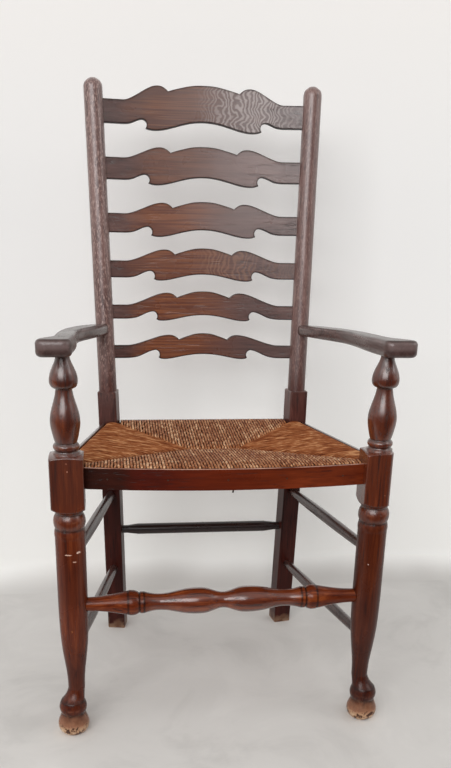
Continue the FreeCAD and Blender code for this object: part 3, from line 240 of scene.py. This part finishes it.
for name, spot, width, tall, power in (
    ("window_front", (-1.36, -3.6, 2.4), 3.2, 2.0, 104.0),
    ("window_left", (-2.4, -1.2, 2.4), 1.3, 1.3, 8.0),
    ("window_right", (2.6, -1.0, 2.2), 1.2, 1.2, 10.0),
):
    lamp = bpy.data.lights.new(name, "AREA")
    lamp.shape = "RECTANGLE"
    lamp.size = width
    lamp.size_y = tall
    lamp.energy = power
    stand = bpy.data.objects.new(name, lamp)
    bpy.context.scene.collection.objects.link(stand)
    stand.location = spot
    stand.rotation_euler = (LAMPS_AIM - Vector(spot)).to_track_quat("-Z", "Y").to_euler()

# Front posts: each is one length of ash, turned between centres and left square at the block, then
# stained a rich red-brown and waxed. Dirt and painted shade darken the turned grooves, the ring edges
# are pale, partly rubbed and partly painted highlight, and the upper baluster carries a painted greyish
# sheen. The ball of the foot, turned off centre, is worn to bare wood below.
POST_TOP = 0.70
GROOVES, GROOVE_HALF_WIDTH = (0.0385, 0.061, 0.378, 0.404, 0.507, 0.519, 0.606), 0.0034
RUBBED_AND_LIT_RINGS, RUBBED_AND_LIT_HALF_WIDTH = (0.050, 0.3705, 0.394, 0.514, 0.611), 0.0016
STRETCH = {"X": (0.05, 1.0, 1.0), "Y": (1.0, 0.05, 1.0), "Z": (1.0, 1.0, 0.05)}
PORE_DEPTH = 0.0003


def stained_wood(name, along, dark, middle, light, gloss=0.25, wax=1.0, haze=0.24, worn=0.0):
    """Open-grained stained and waxed wood, its fibres along one axis, with its place and colour."""
    wood = Shade(name)
    place = wood.read("TexCoord", "Object")
    drawn = wood.put("Mapping", {"Vector": place, "Scale": STRETCH[along]})
    fibre = wood.put("TexNoise", {"Vector": drawn, "Scale": 300.0, "Detail": 5.0, "Roughness": 0.62})
    ring = wood.put("TexNoise", {"Vector": drawn, "Scale": 85.0, "Detail": 3.0, "Distortion": 0.4})
    patch = wood.put("TexNoise", {"Vector": place, "Scale": 11.0, "Detail": 4.0})
    both = wood.work("MULTIPLY", wood.work("ADD", ring, fibre), 0.5)
    colour = wood.ramp(both, [(0.38, dark), (0.5, middle), (0.62, light)])
    colour = wood.mix(wood.ramp(patch, [(0.38, 0.0), (0.72, 0.5)]), colour, dark)
    pores = wood.ramp(fibre, [(0.32, 1.0), (0.42, 0.0)])
    colour = wood.mix(wood.work("MULTIPLY", pores, 0.5), colour,
                      tuple(part * 0.35 for part in dark[:3]) + (1.0,))
    wood.give("Base Color", colour)
    rubbed = wood.spread(patch, 0.3, 0.7, gloss - 0.03, gloss + 0.07)
    wood.give("Roughness", wood.work("ADD", rubbed, wood.work("MULTIPLY", pores, 0.12)))
    wood.bump(wood.work("SUBTRACT", fibre, pores), PORE_DEPTH, 0.4, worn)
    wood.give("Coat Weight", wax)
    wood.give("Coat Roughness", haze)
    return wood, place, colour


def bands(places, half_width, span, strength):
    """Ramp stops for narrow bands round a turned piece, as shares of its span."""
    stops = [(0.0, 0.0)]
    for place in places:
        for shift, value in ((-half_width, 0.0), (0.0, strength), (half_width, 0.0)):
            stops.append(((place + shift) / span, value))
    return stops


def blemish(wood, place, colour, centre, reach, mark):
    """A chip, scratch or speck: a small ragged spot at one place."""
    away = wood.read("VectorMath", "Value", {0: wood.put("Mapping", {
        "Vector": place,
        "Location": tuple(-c / r for c, r in zip(centre, reach)),
        "Scale": tuple(1 / r for r in reach),
    })}, operation="LENGTH")
    torn = wood.put("TexNoise", {"Vector": place, "Scale": 420.0, "Detail": 2.0})
    away = wood.work("ADD", away, wood.work("MULTIPLY", torn, 0.9))
    return wood.mix(wood.ramp(away, [(0.95, 1.0), (1.0, 0.0)], smooth=False), colour, mark)


def work_mesh(piece, tool, **settings):
    """Selects one piece alone and runs a mesh tool on all of it."""
    bpy.ops.object.select_all(action="DESELECT")
    piece.select_set(True)
    bpy.context.view_layer.objects.active = piece
    bpy.ops.object.mode_set(mode="EDIT")
    bpy.ops.mesh.select_all(action="SELECT")
    tool(**settings)
    bpy.ops.object.mode_set(mode="OBJECT")


def finish_with(material, *nodes):
    """Gives CAD pieces their finish."""
    for name in nodes:
        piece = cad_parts[name]
        piece.data.materials.clear()
        piece.data.materials.append(material)
        for face in piece.data.polygons:
            face.material_index = 0


for side, marks in (
    ("left", [((-0.2519, -0.230, 0.4917), (0.0024, 0.004, 0.0018), tone(170, 110, 90)),
              ((-0.2510, -0.230, 0.4789), (0.0022, 0.004, 0.0026), tone(186, 130, 108)),
              ((-0.2553, -0.230, 0.3385), (0.014, 0.012, 0.0022), tone(214, 176, 156)),
              ((-0.2380, -0.228, 0.3415), (0.008, 0.014, 0.0046), tone(224, 192, 174)),
              ((-0.2448, -0.230, 0.3260), (0.008, 0.012, 0.0022), tone(214, 172, 150)),
              ((-0.2546, -0.230, 0.2000), (0.003, 0.008, 0.010), tone(150, 84, 44)),
              ((-0.2555, -0.230, 0.1770), (0.004, 0.008, 0.008), tone(150, 84, 44))]),
    ("right", [((0.2431, -0.227, 0.3063), (0.0017, 0.006, 0.0019), tone(225, 200, 190)),
               ((0.2600, -0.228, 0.4300), (0.0020, 0.004, 0.0016), tone(150, 92, 70))]),
):
    turned, place, colour = stained_wood(f"turned_ash_{side}", "Z", tone(72, 26, 12), tone(98, 41, 20),
                                         tone(120, 56, 28), worn=0.003)
    height = turned.split(place, "Z")
    turned.give("Coat Weight", turned.ramp(height, [(0.36, 0.0), (0.39, 0.4), (0.5, 1.0)]))
    turned.give("Specular IOR Level", turned.ramp(height, [(0.36, 0.27), (0.39, 0.5)]))
    # Painted sheen: the upper baluster and cup are tinted greyish purple for the light they reflect from
    # above.
    colour = turned.stain(turned.ramp(height, [(0.54, 0.0), (0.61, 0.65)]), colour, tone(214, 216, 250))
    if side == "right":
        colour = turned.stain(turned.spread(height, 0.36, 0.40, 1.0, 0.0), colour, tone(208, 206, 214))
    ankle = turned.ramp(turned.spread(height, 0.05, 0.19), [(0.0, 0.75), (0.5, 0.75), (1.0, 0.0)])
    colour = turned.stain(ankle, colour, tone(186, 168, 160))
    share = turned.work("DIVIDE", height, POST_TOP)
    # Dirt and painted shade darken the turned grooves.
    groove_dirt_and_shade = turned.ramp(share, bands(GROOVES, GROOVE_HALF_WIDTH, POST_TOP, 0.85), smooth=False)
    colour = turned.mix(groove_dirt_and_shade, colour, tone(26, 10, 8))
    worn = turned.put("TexNoise", {"Vector": place, "Scale": 120.0, "Detail": 3.0})
    # Pale bands on the ring edges: partly rubbing and partly painted highlight.
    rubbed_and_lit_rings = turned.ramp(share, bands(RUBBED_AND_LIT_RINGS, RUBBED_AND_LIT_HALF_WIDTH, POST_TOP, 1.0), smooth=False)
    rubbed = turned.work("MULTIPLY", rubbed_and_lit_rings, turned.ramp(worn, [(0.45, 0.0), (0.6, 0.5)]))
    colour = turned.mix(rubbed, colour, tone(150, 92, 66))
    for centre, reach, mark in marks:
        colour = blemish(turned, place, colour, centre, reach, mark)
    ragged = turned.put("TexNoise", {"Vector": place, "Scale": 95.0, "Detail": 5.0, "Roughness": 0.7})
    edge = turned.work("MULTIPLY_ADD", ragged, 0.028, height)
    colour = turned.mix(turned.spread(edge, 0.028, 0.056, 0.75, 0.0), colour, tone(178, 128, 98))
    bare_wood = turned.ramp(ragged, [(0.43, tone(64, 34, 22)), (0.49, tone(180, 140, 108)),
                                     (0.66, tone(220, 192, 160))])
    colour = turned.mix(turned.spread(edge, 0.029, 0.036, 0.95, 0.0), colour, bare_wood)
    turned.give("Base Color", colour)
    finish_with(turned.material, f"front_post_{side}")

# Back posts: square below the seat and turned round above it, of the same ash, stained a purplish
# brown with paler open grain. Below the seat they are painted darker and redder, painted shade. Their
# square feet are scuffed where brooms and shoes have caught them.
for side, flecks in (("left", 1.0), ("right", 0.4)):
    back, place, colour = stained_wood(f"back_post_ash_{side}", "Z", tone(88, 58, 54), tone(116, 86, 80),
                                       tone(138, 108, 102), gloss=0.32, haze=0.36)
    dashes = back.put("Mapping", {"Vector": place, "Scale": (620.0, 620.0, 120.0)})
    dashes = back.put("TexNoise", {"Vector": dashes, "Scale": 1.0, "Detail": 2.0})
    height = back.split(place, "Z")
    above = back.spread(height, 0.49, 0.56)
    dashes = back.work("MULTIPLY", back.ramp(dashes, [(0.53, 0.0), (0.62, flecks)]), above)
    colour = back.mix(dashes, colour, tone(170, 144, 136))
    # Painted shade: the posts are painted darker and redder below the seat.
    shade = back.ramp(height, [(0.40, tone(134, 70, 56)), (0.45, tone(180, 138, 130)),
                               (0.52, tone(190, 150, 142)), (0.60, tone(255, 250, 250))])
    colour = back.mix(1.0, colour, shade, blend="MULTIPLY")
    back.give("Coat Weight", above)
    back.give("Specular IOR Level", back.ramp(height, [(0.40, 0.2), (0.5, 0.5)]))
    ragged = back.put("TexNoise", {"Vector": place, "Scale": 60.0, "Detail": 5.0})
    edge = back.work("ADD", height, back.work("MULTIPLY", ragged, 0.07))
    bare_wood = back.ramp(ragged, [(0.36, tone(104, 72, 54)), (0.7, tone(176, 144, 118))])
    colour = back.mix(back.spread(edge, 0.04, 0.055, 0.85, 0.0), colour, bare_wood)
    back.give("Base Color", colour)
    finish_with(back.material, f"back_post_{side}")

# Slats: thin bent boards of ash, sawn to a wave and let into the posts. The stain is warm near the
# middle and purplish at the ends. The sawn edges are nearly black, from dirt and painted shade, and the
# upper three boards carry a painted greyish sheen on their right half. The top board has a zigzag flame
# figure on its right half, its pale lines partly painted sheen, and the fourth a soft curl.
HALF_SLAT = 0.20
BROWN, GINGER = (tone(86, 40, 19), tone(120, 68, 37)), (tone(100, 46, 20), tone(136, 76, 38))
FLAME_AND_SHEEN = (0.0135, 800.0, [(0.44, 0.0), (0.64, 0.9), (0.76, 1.0), (0.96, 0.2)], 0.7, tone(184, 170, 166))
CURL = (0.03, 620.0, [(0.45, 0.0), (0.55, 0.9), (0.68, 0.9), (0.8, 0.3)], 0.55, tone(150, 106, 80))


def darken_edges(wood, colour, dark):
    """Darkens and dulls a board's sawn edges and a thin strip beside them: old polish, dirt and painted
    shade.
    """
    upward = wood.split(wood.read("TexCoord", "Normal"), "Z")
    turned_by = wood.ramp(wood.work("ABSOLUTE", upward), [(0.3, 0.0), (0.7, 1.0)])
    rounded = wood.put("Bevel", {"Radius": 0.006}, samples=8)
    facing = wood.read("VectorMath", "Value", {0: rounded, 1: wood.read("NewGeometry", "True Normal")},
                       operation="DOT_PRODUCT")
    edge = wood.work("MAXIMUM", turned_by, wood.ramp(facing, [(0.9, 1.0), (1.0, 0.0)]))
    wood.give("Coat Weight", wood.spread(edge, at_low=1.0, at_high=0.0))
    wood.give("Specular IOR Level", wood.spread(edge, at_low=0.5, at_high=0.1))
    return wood.mix(edge, colour, dark)


for number, warm, streak, warm_end, stains, painted_sheen, figure in (
    (1, 0.9, 5.0, 0.82, BROWN, 0.3, FLAME_AND_SHEEN),
    (2, 0.7, 9.0, 0.82, BROWN, 0.45, None),
    (3, 0.85, 8.0, 0.82, GINGER, 0.45, None),
    (4, 0.9, 7.0, 0.86, GINGER, 0.0, CURL),
    (5, 1.0, 10.0, 0.86, GINGER, 0.0, None),
    (6, 1.0, 4.0, 0.86, GINGER, 0.0, None),
):
    wood, place, colour = stained_wood(f"slat_ash_{number}", "X", tone(70, 42, 37), tone(94, 62, 56),
                                       tone(114, 82, 75), gloss=0.26)
    if number == 1:
        colour = wood.mix(1.0, colour, tone(228, 224, 224), blend="MULTIPLY")
    lines = wood.put("Mapping", {"Vector": place, "Scale": (streak, 60.0, 330.0),
                                 "Location": (number * 3.1, 0.0, 0.0)})
    lines = wood.put("TexNoise", {"Vector": lines, "Scale": 1.0, "Detail": 3.0, "Distortion": 0.5})
    ginger = wood.mix(wood.ramp(lines, [(0.4, 0.0), (0.62, 1.0)]), *stains)
    cloud = wood.put("TexNoise", {"Vector": place, "Scale": 16.0, "Detail": 3.0})
    across = wood.split(place, "X")
    rise = wood.split(place, "Z")
    drifted = wood.work("ADD", across, wood.work("MULTIPLY", cloud, 0.09))
    share = wood.spread(drifted, -HALF_SLAT, HALF_SLAT)
    patch = wood.ramp(share, [(0.2, 0.0), (0.38, warm), (0.5, warm), (warm_end, 0.0)])
    colour = wood.mix(patch, colour, ginger)
    # Painted sheen: the right half of the upper three boards is tinted greyish purple for a reflection.
    if painted_sheen:
        sheen = wood.ramp(share, [(0.4, 0.0), (0.76, painted_sheen), (0.84, painted_sheen), (1.0, 0.0)])
        colour = wood.mix(sheen, colour, tone(134, 112, 108))
    if figure:
        tooth_height, lines_per_metre, zone_stops, strength, pale = figure
        tooth = wood.work("PINGPONG", rise, tooth_height, 0.0)
        wobble = wood.put("TexNoise", {"Vector": place, "Scale": 55.0, "Detail": 2.0})
        line = wood.work("ADD", across, wood.work("MULTIPLY", tooth, 0.55))
        line = wood.work("MULTIPLY_ADD", wobble, 0.022, line)
        drift = wood.put("TexNoise", {"Vector": place, "Scale": 17.0, "Detail": 2.0})
        line = wood.work("MULTIPLY_ADD", drift, 0.05, line)
        line = wood.work("SINE", wood.work("MULTIPLY", line, lines_per_metre))
        zone = wood.ramp(wood.spread(across, -HALF_SLAT, HALF_SLAT), zone_stops)
        # The flame's pale silvery lines are real figure, partly painted sheen.
        flame_and_sheen = wood.work("MULTIPLY", wood.spread(line, -0.5, 0.9), zone)
        colour = wood.mix(wood.work("MULTIPLY", flame_and_sheen, strength), colour, pale)
    wood.give("Base Color", darken_edges(wood, colour, tone(34, 18, 16)))
    finish_with(wood.material, f"slat_{number}")

# Arms: flat shaped boards of the same ash, dropped over the front posts' tenons. Hands and sleeves have
# rubbed their edges round. Their front ends show paler end grain with a painted sheen above and a
# painted shadow low down, and their tops are painted darker, painted shade.
ARM_UNDERSIDE, ARM_TOP = 0.654, 0.684
arms, place, colour = stained_wood("arm_ash", "Y", tone(66, 44, 41), tone(90, 66, 62), tone(114, 88, 84),
                                   worn=0.009)
faced = arms.read("TexCoord", "Normal")
front = arms.ramp(arms.work("MULTIPLY", arms.split(faced, "Y"), -1.0), [(0.5, 0.0), (0.9, 0.8)])
rise = arms.spread(arms.split(place, "Z"), ARM_UNDERSIDE, ARM_TOP)
# Painted sheen and shadow: the paler end grain of the front ends is lighter high up and dark low down.
end_grain_sheen_and_shadow = arms.ramp(rise, [(0.1, tone(46, 32, 32)), (0.35, tone(72, 54, 52)), (0.6, tone(150, 130, 128)),
                             (0.9, tone(110, 90, 88))])
colour = arms.mix(front, colour, arms.mix(0.5, colour, end_grain_sheen_and_shadow))
top = arms.ramp(arms.split(faced, "Z"), [(0.5, 0.0), (0.9, 1.0)])
arms.give("Coat Weight", arms.spread(top, at_low=0.6, at_high=0.3))
arms.give("Specular IOR Level", arms.spread(top, at_low=0.45, at_high=0.3))
# Painted shade: the tops are painted darker and warmer, tempering their sheen.
arms.give("Base Color", arms.stain(top, colour, tone(198, 182, 178)))
finish_with(arms.material, "arm_left", "arm_right")

# Stretchers: the front one is a turned show piece in the front posts' red-brown, with dirt and painted
# shade in its grooves. The others are plain round rods, darker and duller, driven into bored holes; the
# back one is painted darker still, painted shade under the seat.
HALF_SHOW = 0.26
SHOW_GROOVES, SHOW_GROOVE_HALF_WIDTH = (0.1342, 0.1420, 0.1610), 0.003
show, place, colour = stained_wood("show_stretcher_ash", "X", tone(66, 22, 10), tone(106, 44, 20),
                                   tone(138, 68, 34), gloss=0.2, wax=0.6, haze=0.16)
share = show.work("DIVIDE", show.work("ABSOLUTE", show.split(place, "X")), HALF_SHOW)
# Dirt and painted shade darken the grooves.
groove_dirt_and_shade = show.ramp(share, bands(SHOW_GROOVES, SHOW_GROOVE_HALF_WIDTH, HALF_SHOW, 0.9), smooth=False)
show.give("Coat Weight", show.ramp(share, [(0.44, 0.6), (0.52, 0.1)]))
show.give("Specular IOR Level", show.ramp(share, [(0.44, 0.5), (0.52, 0.25), (0.64, 0.15)]))
show.give("Base Color", show.mix(groove_dirt_and_shade, colour, tone(24, 10, 8)))
finish_with(show.material, "front_stretcher")
rods = stained_wood("side_rod_ash", "Y", tone(50, 30, 28), tone(70, 46, 42), tone(90, 62, 54), wax=0.3)[0]
finish_with(rods.material, "side_stretcher_upper_left", "side_stretcher_upper_right",
            "side_stretcher_lower_left", "side_stretcher_lower_right")
# Painted shade: the back rod is a darker copy of the rods' colour, for the shade under the seat.
shaded_rod = stained_wood("back_rod_ash_painted_shade", "X", tone(28, 15, 15), tone(38, 22, 22), tone(50, 32, 30), wax=0.0)[0]
finish_with(shaded_rod.material, "back_stretcher")

# Seat frame and edging: sawn rails that the rush hides, and thin stained laths nailed over its edges
# with small dark brads. The front lath is dark at its left end, redder to the right and rubbed pale in
# places along its upper edge.
HALF_LATH = 0.23
plain = stained_wood("rail_ash", "X", tone(120, 90, 60), tone(150, 116, 80), tone(176, 140, 100))[0]
finish_with(plain.material, "seat_rail_front", "seat_rail_back", "seat_rail_left", "seat_rail_right")
lath, place, colour = stained_wood("front_lath_ash", "X", tone(190, 170, 160), tone(225, 220, 215),
                                   tone(255, 255, 255), gloss=0.3, wax=0.0)
across = lath.spread(lath.split(place, "X"), -HALF_LATH, HALF_LATH)
stain = lath.ramp(across, [(0.0, tone(54, 20, 11)), (0.12, tone(60, 22, 12)), (0.2, tone(90, 24, 8)),
                           (0.5, tone(108, 38, 15)), (0.9, tone(132, 56, 27))])
colour = lath.mix(1.0, stain, colour, blend="MULTIPLY")
worn = lath.put("TexNoise", {"Vector": place, "Scale": 26.0, "Detail": 4.0})
rim = lath.ramp(worn, [(0.3, tone(92, 46, 32)), (0.5, tone(172, 114, 90)), (0.7, tone(196, 146, 120))])
top = lath.ramp(lath.split(lath.read("TexCoord", "Normal"), "Z"), [(0.5, 0.0), (0.8, 1.0)])
lath.give("Specular IOR Level", lath.spread(top, at_low=0.3, at_high=0.1))
lath.give("Base Color", lath.mix(top, colour, rim))
finish_with(lath.material, "edging_strip_front")
lath = stained_wood("back_lath_ash", "X", tone(52, 22, 18), tone(82, 36, 26), tone(108, 54, 36))[0]
finish_with(lath.material, "edging_strip_back")
lath = stained_wood("side_lath_ash", "Y", tone(44, 20, 16), tone(66, 32, 24), tone(88, 46, 34))[0]
finish_with(lath.material, "edging_strip_left", "edging_strip_right")
brads = Shade("brad_steel")
rust = brads.put("TexNoise", {"Vector": brads.read("TexCoord", "Object"), "Scale": 900.0})
brads.give("Base Color", brads.ramp(rust, [(0.3, tone(60, 52, 48)), (0.7, tone(92, 72, 60))]))
brads.give("Metallic", 0.7)
brads.give("Roughness", 0.5)
finish_with(brads.material, "strip_brads")

# Rush seat: twisted rush cords wound over the four rails and across each other, so that four panels
# meet along mitre lines. Every cord loops round its rail and comes back underneath. Use has pressed the
# seat into a shallow dish. The side panels' cords fan back a little from the mitres.
SEAT_FRONT_Y, SEAT_TOP, SEAT_THICK = -0.20284, 0.480, 0.034
TILT = math.radians(2.6)
FRONT_MITRE, BACK_MITRE = (0.2257, 0.0279), (0.1720, 0.3435)
BACK_CORDS_HALF, REAR_DEPTH = 0.1655, 0.381
RIDGE_HALF, RIDGE_DEPTH = 0.043, 0.183
BOW_RADIUS, BOW_CENTRE = 1.1718, 1.1428
SIDE_AT_FRONT, SIDE_AT_BACK = (0.268, 0.026), (0.203, 0.347)
DISH, DISH_FRONT, DISH_BACK, DISH_SIDE = 0.015, 0.025, 0.360, 0.220
DISH_NARROWS = 0.059 / 0.335
CORD, CORD_SPACING, SIDES_OF_CORD = 0.0026, 0.0051, 8
EDGE_ROUND, EDGE_GAP = 0.0085, 0.0064 + CORD
MITRE_SINK, UNEVEN, UNDERSIDE_RISE = 0.0024, 0.0006, 0.003
TOP_STEP, UNDERSIDE_STEP = 0.011, 0.03
FAN, SIDE_CORDS_SPARE, SIDE_FLECKS = 0.2, 0.004, 0.45
HALVINGS = 24
corners, faces, coords, shades, panels = [], [], [], [], []
chance = random.Random(7)


def bow(x, inset):
    """Depth of the bowed front edge behind the posts' axes."""
    return BOW_CENTRE - math.sqrt((BOW_RADIUS - inset) ** 2 - x * x)


def side_edge(run, inset):
    """Side edge of the seat, which narrows to the back."""
    (wide, front), (narrow, back) = SIDE_AT_FRONT, SIDE_AT_BACK
    return wide + (narrow - wide) * (run - front) / (back - front) - inset


def dip(x, run):
    """How far the dished top lies below its flat rim."""
    rim = DISH_SIDE - DISH_NARROWS * (run - DISH_FRONT)
    from_front = (run - DISH_FRONT) / (RIDGE_DEPTH - DISH_FRONT)
    from_back = (DISH_BACK - run) / (DISH_BACK - RIDGE_DEPTH)
    from_side = (rim - abs(x)) / (rim - RIDGE_HALF)
    return DISH * max(min(from_front, from_back, from_side, 1.0), 0.0)


def mitre_depth(x, mitre):
    """Where a front or back cord ends on the mitre line."""
    half, depth = mitre
    share = max(0.0, (abs(x) - RIDGE_HALF) / (half - RIDGE_HALF))
    return RIDGE_DEPTH + (depth - RIDGE_DEPTH) * share


def mitre_reach(run):
    """How far from the middle a side cord ends on the mitre line."""
    half, depth = FRONT_MITRE if run < RIDGE_DEPTH else BACK_MITRE
    return RIDGE_HALF + (half - RIDGE_HALF) * (RIDGE_DEPTH - run) / (RIDGE_DEPTH - depth)


def add_cord(inner, edge, panel):
    """Adds one cord's skin: out over the top from the mitre, round the edge and back below."""
    reach = math.dist(inner, edge)
    out = Vector((edge[0] - inner[0], edge[1] - inner[1])) / reach
    aside = Vector((out.y, -out.x))
    flat = reach - EDGE_ROUND
    rows = []
    steps = max(3, int(flat / TOP_STEP))
    for step in range(steps + 1):
        far = flat * step / steps
        sink = MITRE_SINK if step == 0 else chance.uniform(0.0, UNEVEN)
        rows.append((far, -CORD - sink - dip(inner[0] + out.x * far, inner[1] + out.y * far)))
    for angle in (0.47, 0.94, 1.41):
        rows.append((flat + EDGE_ROUND * math.sin(angle), -CORD - EDGE_ROUND * (1 - math.cos(angle))))
    below = CORD - SEAT_THICK
    for angle in (0.16, 0.63, 1.10, 1.57):
        rows.append((flat + EDGE_ROUND * math.cos(angle), below + EDGE_ROUND * (1 - math.sin(angle))))
    steps = max(2, int(flat / UNDERSIDE_STEP))
    for step in range(1, steps + 1):
        rows.append((flat * (1 - step / steps), below + UNDERSIDE_RISE * step / steps))
    first = len(corners)
    shade = chance.random()
    thick = CORD * chance.uniform(0.92, 1.08)
    swing = [(chance.uniform(0.0002, 0.0006), chance.uniform(90.0, 320.0), chance.uniform(0.0, 6.28))
             for _ in range(2)]
    length = 0.0
    for index, (run, rise) in enumerate(rows):
        before, after = rows[max(index - 1, 0)], rows[min(index + 1, len(rows) - 1)]
        along = Vector((after[0] - before[0], after[1] - before[1])).normalized()
        length += math.dist(rows[index], before)
        swell = thick * chance.uniform(0.9, 1.06)
        wander = sum(wide * math.sin(often * length + late) for wide, often, late in swing)
        for side in range(SIDES_OF_CORD):
            angle = 2 * math.pi * side / SIDES_OF_CORD
            off = wander + swell * math.cos(angle)
            far = run - along.y * swell * math.sin(angle)
            high = rise + along.x * swell * math.sin(angle)
            x = inner[0] + out.x * far + aside.x * off
            depth = inner[1] + out.y * far + aside.y * off
            corners.append((x, SEAT_FRONT_Y + depth * math.cos(TILT) + high * math.sin(TILT),
                            SEAT_TOP - depth * math.sin(TILT) + high * math.cos(TILT)))
            coords.append((length * (SIDE_FLECKS if panel else 1.0), side / SIDES_OF_CORD))
            shades.append(shade)
            panels.append(panel)
    for index in range(len(rows) - 1):
        for side in range(SIDES_OF_CORD):
            a = first + index * SIDES_OF_CORD + side
            b = first + index * SIDES_OF_CORD + (side + 1) % SIDES_OF_CORD
            faces.append((a, a + SIDES_OF_CORD, b + SIDES_OF_CORD, b))
    last = first + (len(rows) - 1) * SIDES_OF_CORD
    faces.append(tuple(range(first, first + SIDES_OF_CORD)))
    faces.append(tuple(reversed(range(last, last + SIDES_OF_CORD))))


for half, mitre in ((FRONT_MITRE[0], FRONT_MITRE), (BACK_CORDS_HALF, BACK_MITRE)):
    count = int(2 * (half - CORD) / CORD_SPACING)
    for step in range(count + 1):
        x = (half - CORD) * (2 * step / count - 1)
        edge = bow(x, EDGE_GAP) if mitre is FRONT_MITRE else REAR_DEPTH - CORD
        add_cord((x, mitre_depth(x, mitre)), (x, edge), 0.0)
first_run, last_run = FRONT_MITRE[1], BACK_MITRE[1]
count = int((last_run - first_run + SIDE_CORDS_SPARE) / CORD_SPACING)
for side in (-1, 1):
    for step in range(count + 1):
        run = first_run + CORD + (last_run - first_run) * step / count
        edge = side_edge(run, EDGE_GAP)
        near, far = 0.0, edge - RIDGE_HALF
        for _ in range(HALVINGS):
            half = (near + far) / 2
            if edge - half > mitre_reach(min(max(run - FAN * half, first_run), last_run)):
                near = half
            else:
                far = half
        add_cord((side * (edge - near), run - FAN * near), (side * edge, run), 1.0)
skin = bpy.data.meshes.new("rush_cords")
skin.from_pydata(corners, [], faces)
layer = skin.uv_layers.new(name="along_cord")
for loop in skin.loops:
    layer.data[loop.index].uv = coords[loop.vertex_index]
for name, values in (("cord_shade", shades), ("side_panel", panels)):
    skin.attributes.new(name, "FLOAT", "POINT").data.foreach_set("value", values)
rush = bpy.data.objects.new("rush_cords", skin)
bpy.context.scene.collection.objects.link(rush)
work_mesh(rush, bpy.ops.mesh.normals_make_consistent, inside=False)
bpy.ops.object.shade_smooth()

# The rush has aged to ginger. Each cord shows its twisted strands as short pale flecks, partly strand
# colour and partly painted glints. Painted shade darkens the furrows between cords, and the front and back
# panels are painted paler and pinker than the side ones, a painted sheen.
straw = Shade("rush_straw")
twist = straw.put("UVMap", uv_map="along_cord")
along = straw.split(twist, "X")
around = straw.split(twist, "Y")
shade = straw.read("Attribute", "Fac", attribute_name="cord_shade")
turned_by = straw.work("MULTIPLY_ADD", along, 45.0, around)
strands = []
for lengths, turns in ((55.0, 1.6), (150.0, 6.0)):
    spot = straw.put("CombineXYZ", {
        "X": straw.work("MULTIPLY", along, lengths),
        "Y": straw.work("MULTIPLY", turned_by, turns),
        "Z": straw.work("MULTIPLY", shade, 61.0),
    })
    strands.append(straw.put("TexNoise", {"Vector": spot, "Scale": 1.0, "Detail": 2.0}))
patch = straw.put("TexNoise", {"Vector": straw.read("TexCoord", "Object"), "Scale": 22.0, "Detail": 4.0})
mixed = straw.work("MULTIPLY_ADD", strands[0], 1.1, straw.work("MULTIPLY", shade, 0.16))
mixed = straw.work("MULTIPLY_ADD", strands[1], 0.5, mixed)
mixed = straw.work("MULTIPLY_ADD", patch, 0.5, mixed)
# The pale flecks are partly strand colour and partly painted glints.
colour = straw.ramp(straw.work("MULTIPLY", mixed, 0.5), [
    (0.40, tone(112, 60, 34)), (0.5, tone(152, 94, 60)), (0.6, tone(184, 128, 90)),
    (0.68, tone(228, 182, 142))])
# Painted sheen: the front and back panels stay paler and pinker; the side panels are painted darker and
# more orange.
side_panel = straw.read("Attribute", "Fac", attribute_name="side_panel")
colour = straw.stain(side_panel, colour, tone(228, 206, 184))
# Painted shade darkens the furrows between cords.
painted_furrow_shade = straw.work("ABSOLUTE", straw.work("SUBTRACT", around, 0.25))
colour = straw.mix(straw.ramp(painted_furrow_shade, [(0.08, 0.0), (0.18, 0.92)]), colour, tone(72, 30, 13))
straw.give("Base Color", colour)
straw.give("Roughness", 0.6)
straw.give("Specular IOR Level", 0.08)
straw.bump(straw.work("ADD", strands[0], strands[1]), 0.0012, 0.7)
skin.materials.append(straw.material)
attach(rush, "root")

# Under the top layer lie the crossing cords, dark and out of the light. They are one soft mass here,
# a little smaller than the seat.
FILLING_INSET = 0.0048
core = bpy.data.objects.new("rush_filling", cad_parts["rush_seat"].data.copy())
bpy.context.scene.collection.objects.link(core)
work_mesh(core, bpy.ops.mesh.remove_doubles, threshold=0.00001)
shrink = core.modifiers.new("shrink", "DISPLACE")
shrink.strength = -FILLING_INSET
shrink.mid_level = 0.0
bpy.ops.object.modifier_apply(modifier="shrink")
filling = Shade("rush_in_shade")
dim = filling.put("TexNoise", {"Vector": filling.read("TexCoord", "Object"), "Scale": 300.0})
# Painted shade: the filling is coloured dark brown for the shade it lies in.
filling.give("Base Color", filling.ramp(dim, [(0.3, tone(44, 26, 16)), (0.7, tone(72, 44, 26))]))
filling.give("Roughness", 0.9)
filling.give("Specular IOR Level", 0.0)
core.data.materials.clear()
core.data.materials.append(filling.material)
for face in core.data.polygons:
    face.material_index = 0
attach(core, "root")
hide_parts("rush_seat")
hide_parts("rush_seat")

# Loose end: one broken end of a cord hangs down behind the front lath, bent and dark with age. It is
# still wound into the seat above.
HANG_FROM, HANG_LENGTH = 0.4545, 0.019
bpy.ops.object.select_all(action="DESELECT")
bpy.ops.mesh.primitive_cylinder_add(vertices=10, radius=0.0014, depth=0.020,
                                    location=(0.0111, -0.215, 0.4455))
loose = bpy.context.object
loose.name = "loose_rush_end"
bpy.ops.object.transform_apply(location=True, rotation=False, scale=False)
work_mesh(loose, bpy.ops.mesh.subdivide, number_cuts=4)
for corner in loose.data.vertices:
    hang = max(0.0, HANG_FROM - corner.co.z) / HANG_LENGTH
    corner.co.x += 0.0012 * math.sin(4.0 * hang)
    corner.co.y += 0.0010 * hang * hang
bpy.ops.object.shade_smooth()
husk = Shade("old_rush")
husk.give("Base Color", tone(58, 34, 24))
husk.give("Roughness", 0.8)
loose.data.materials.append(husk.material)
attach(loose, "root")
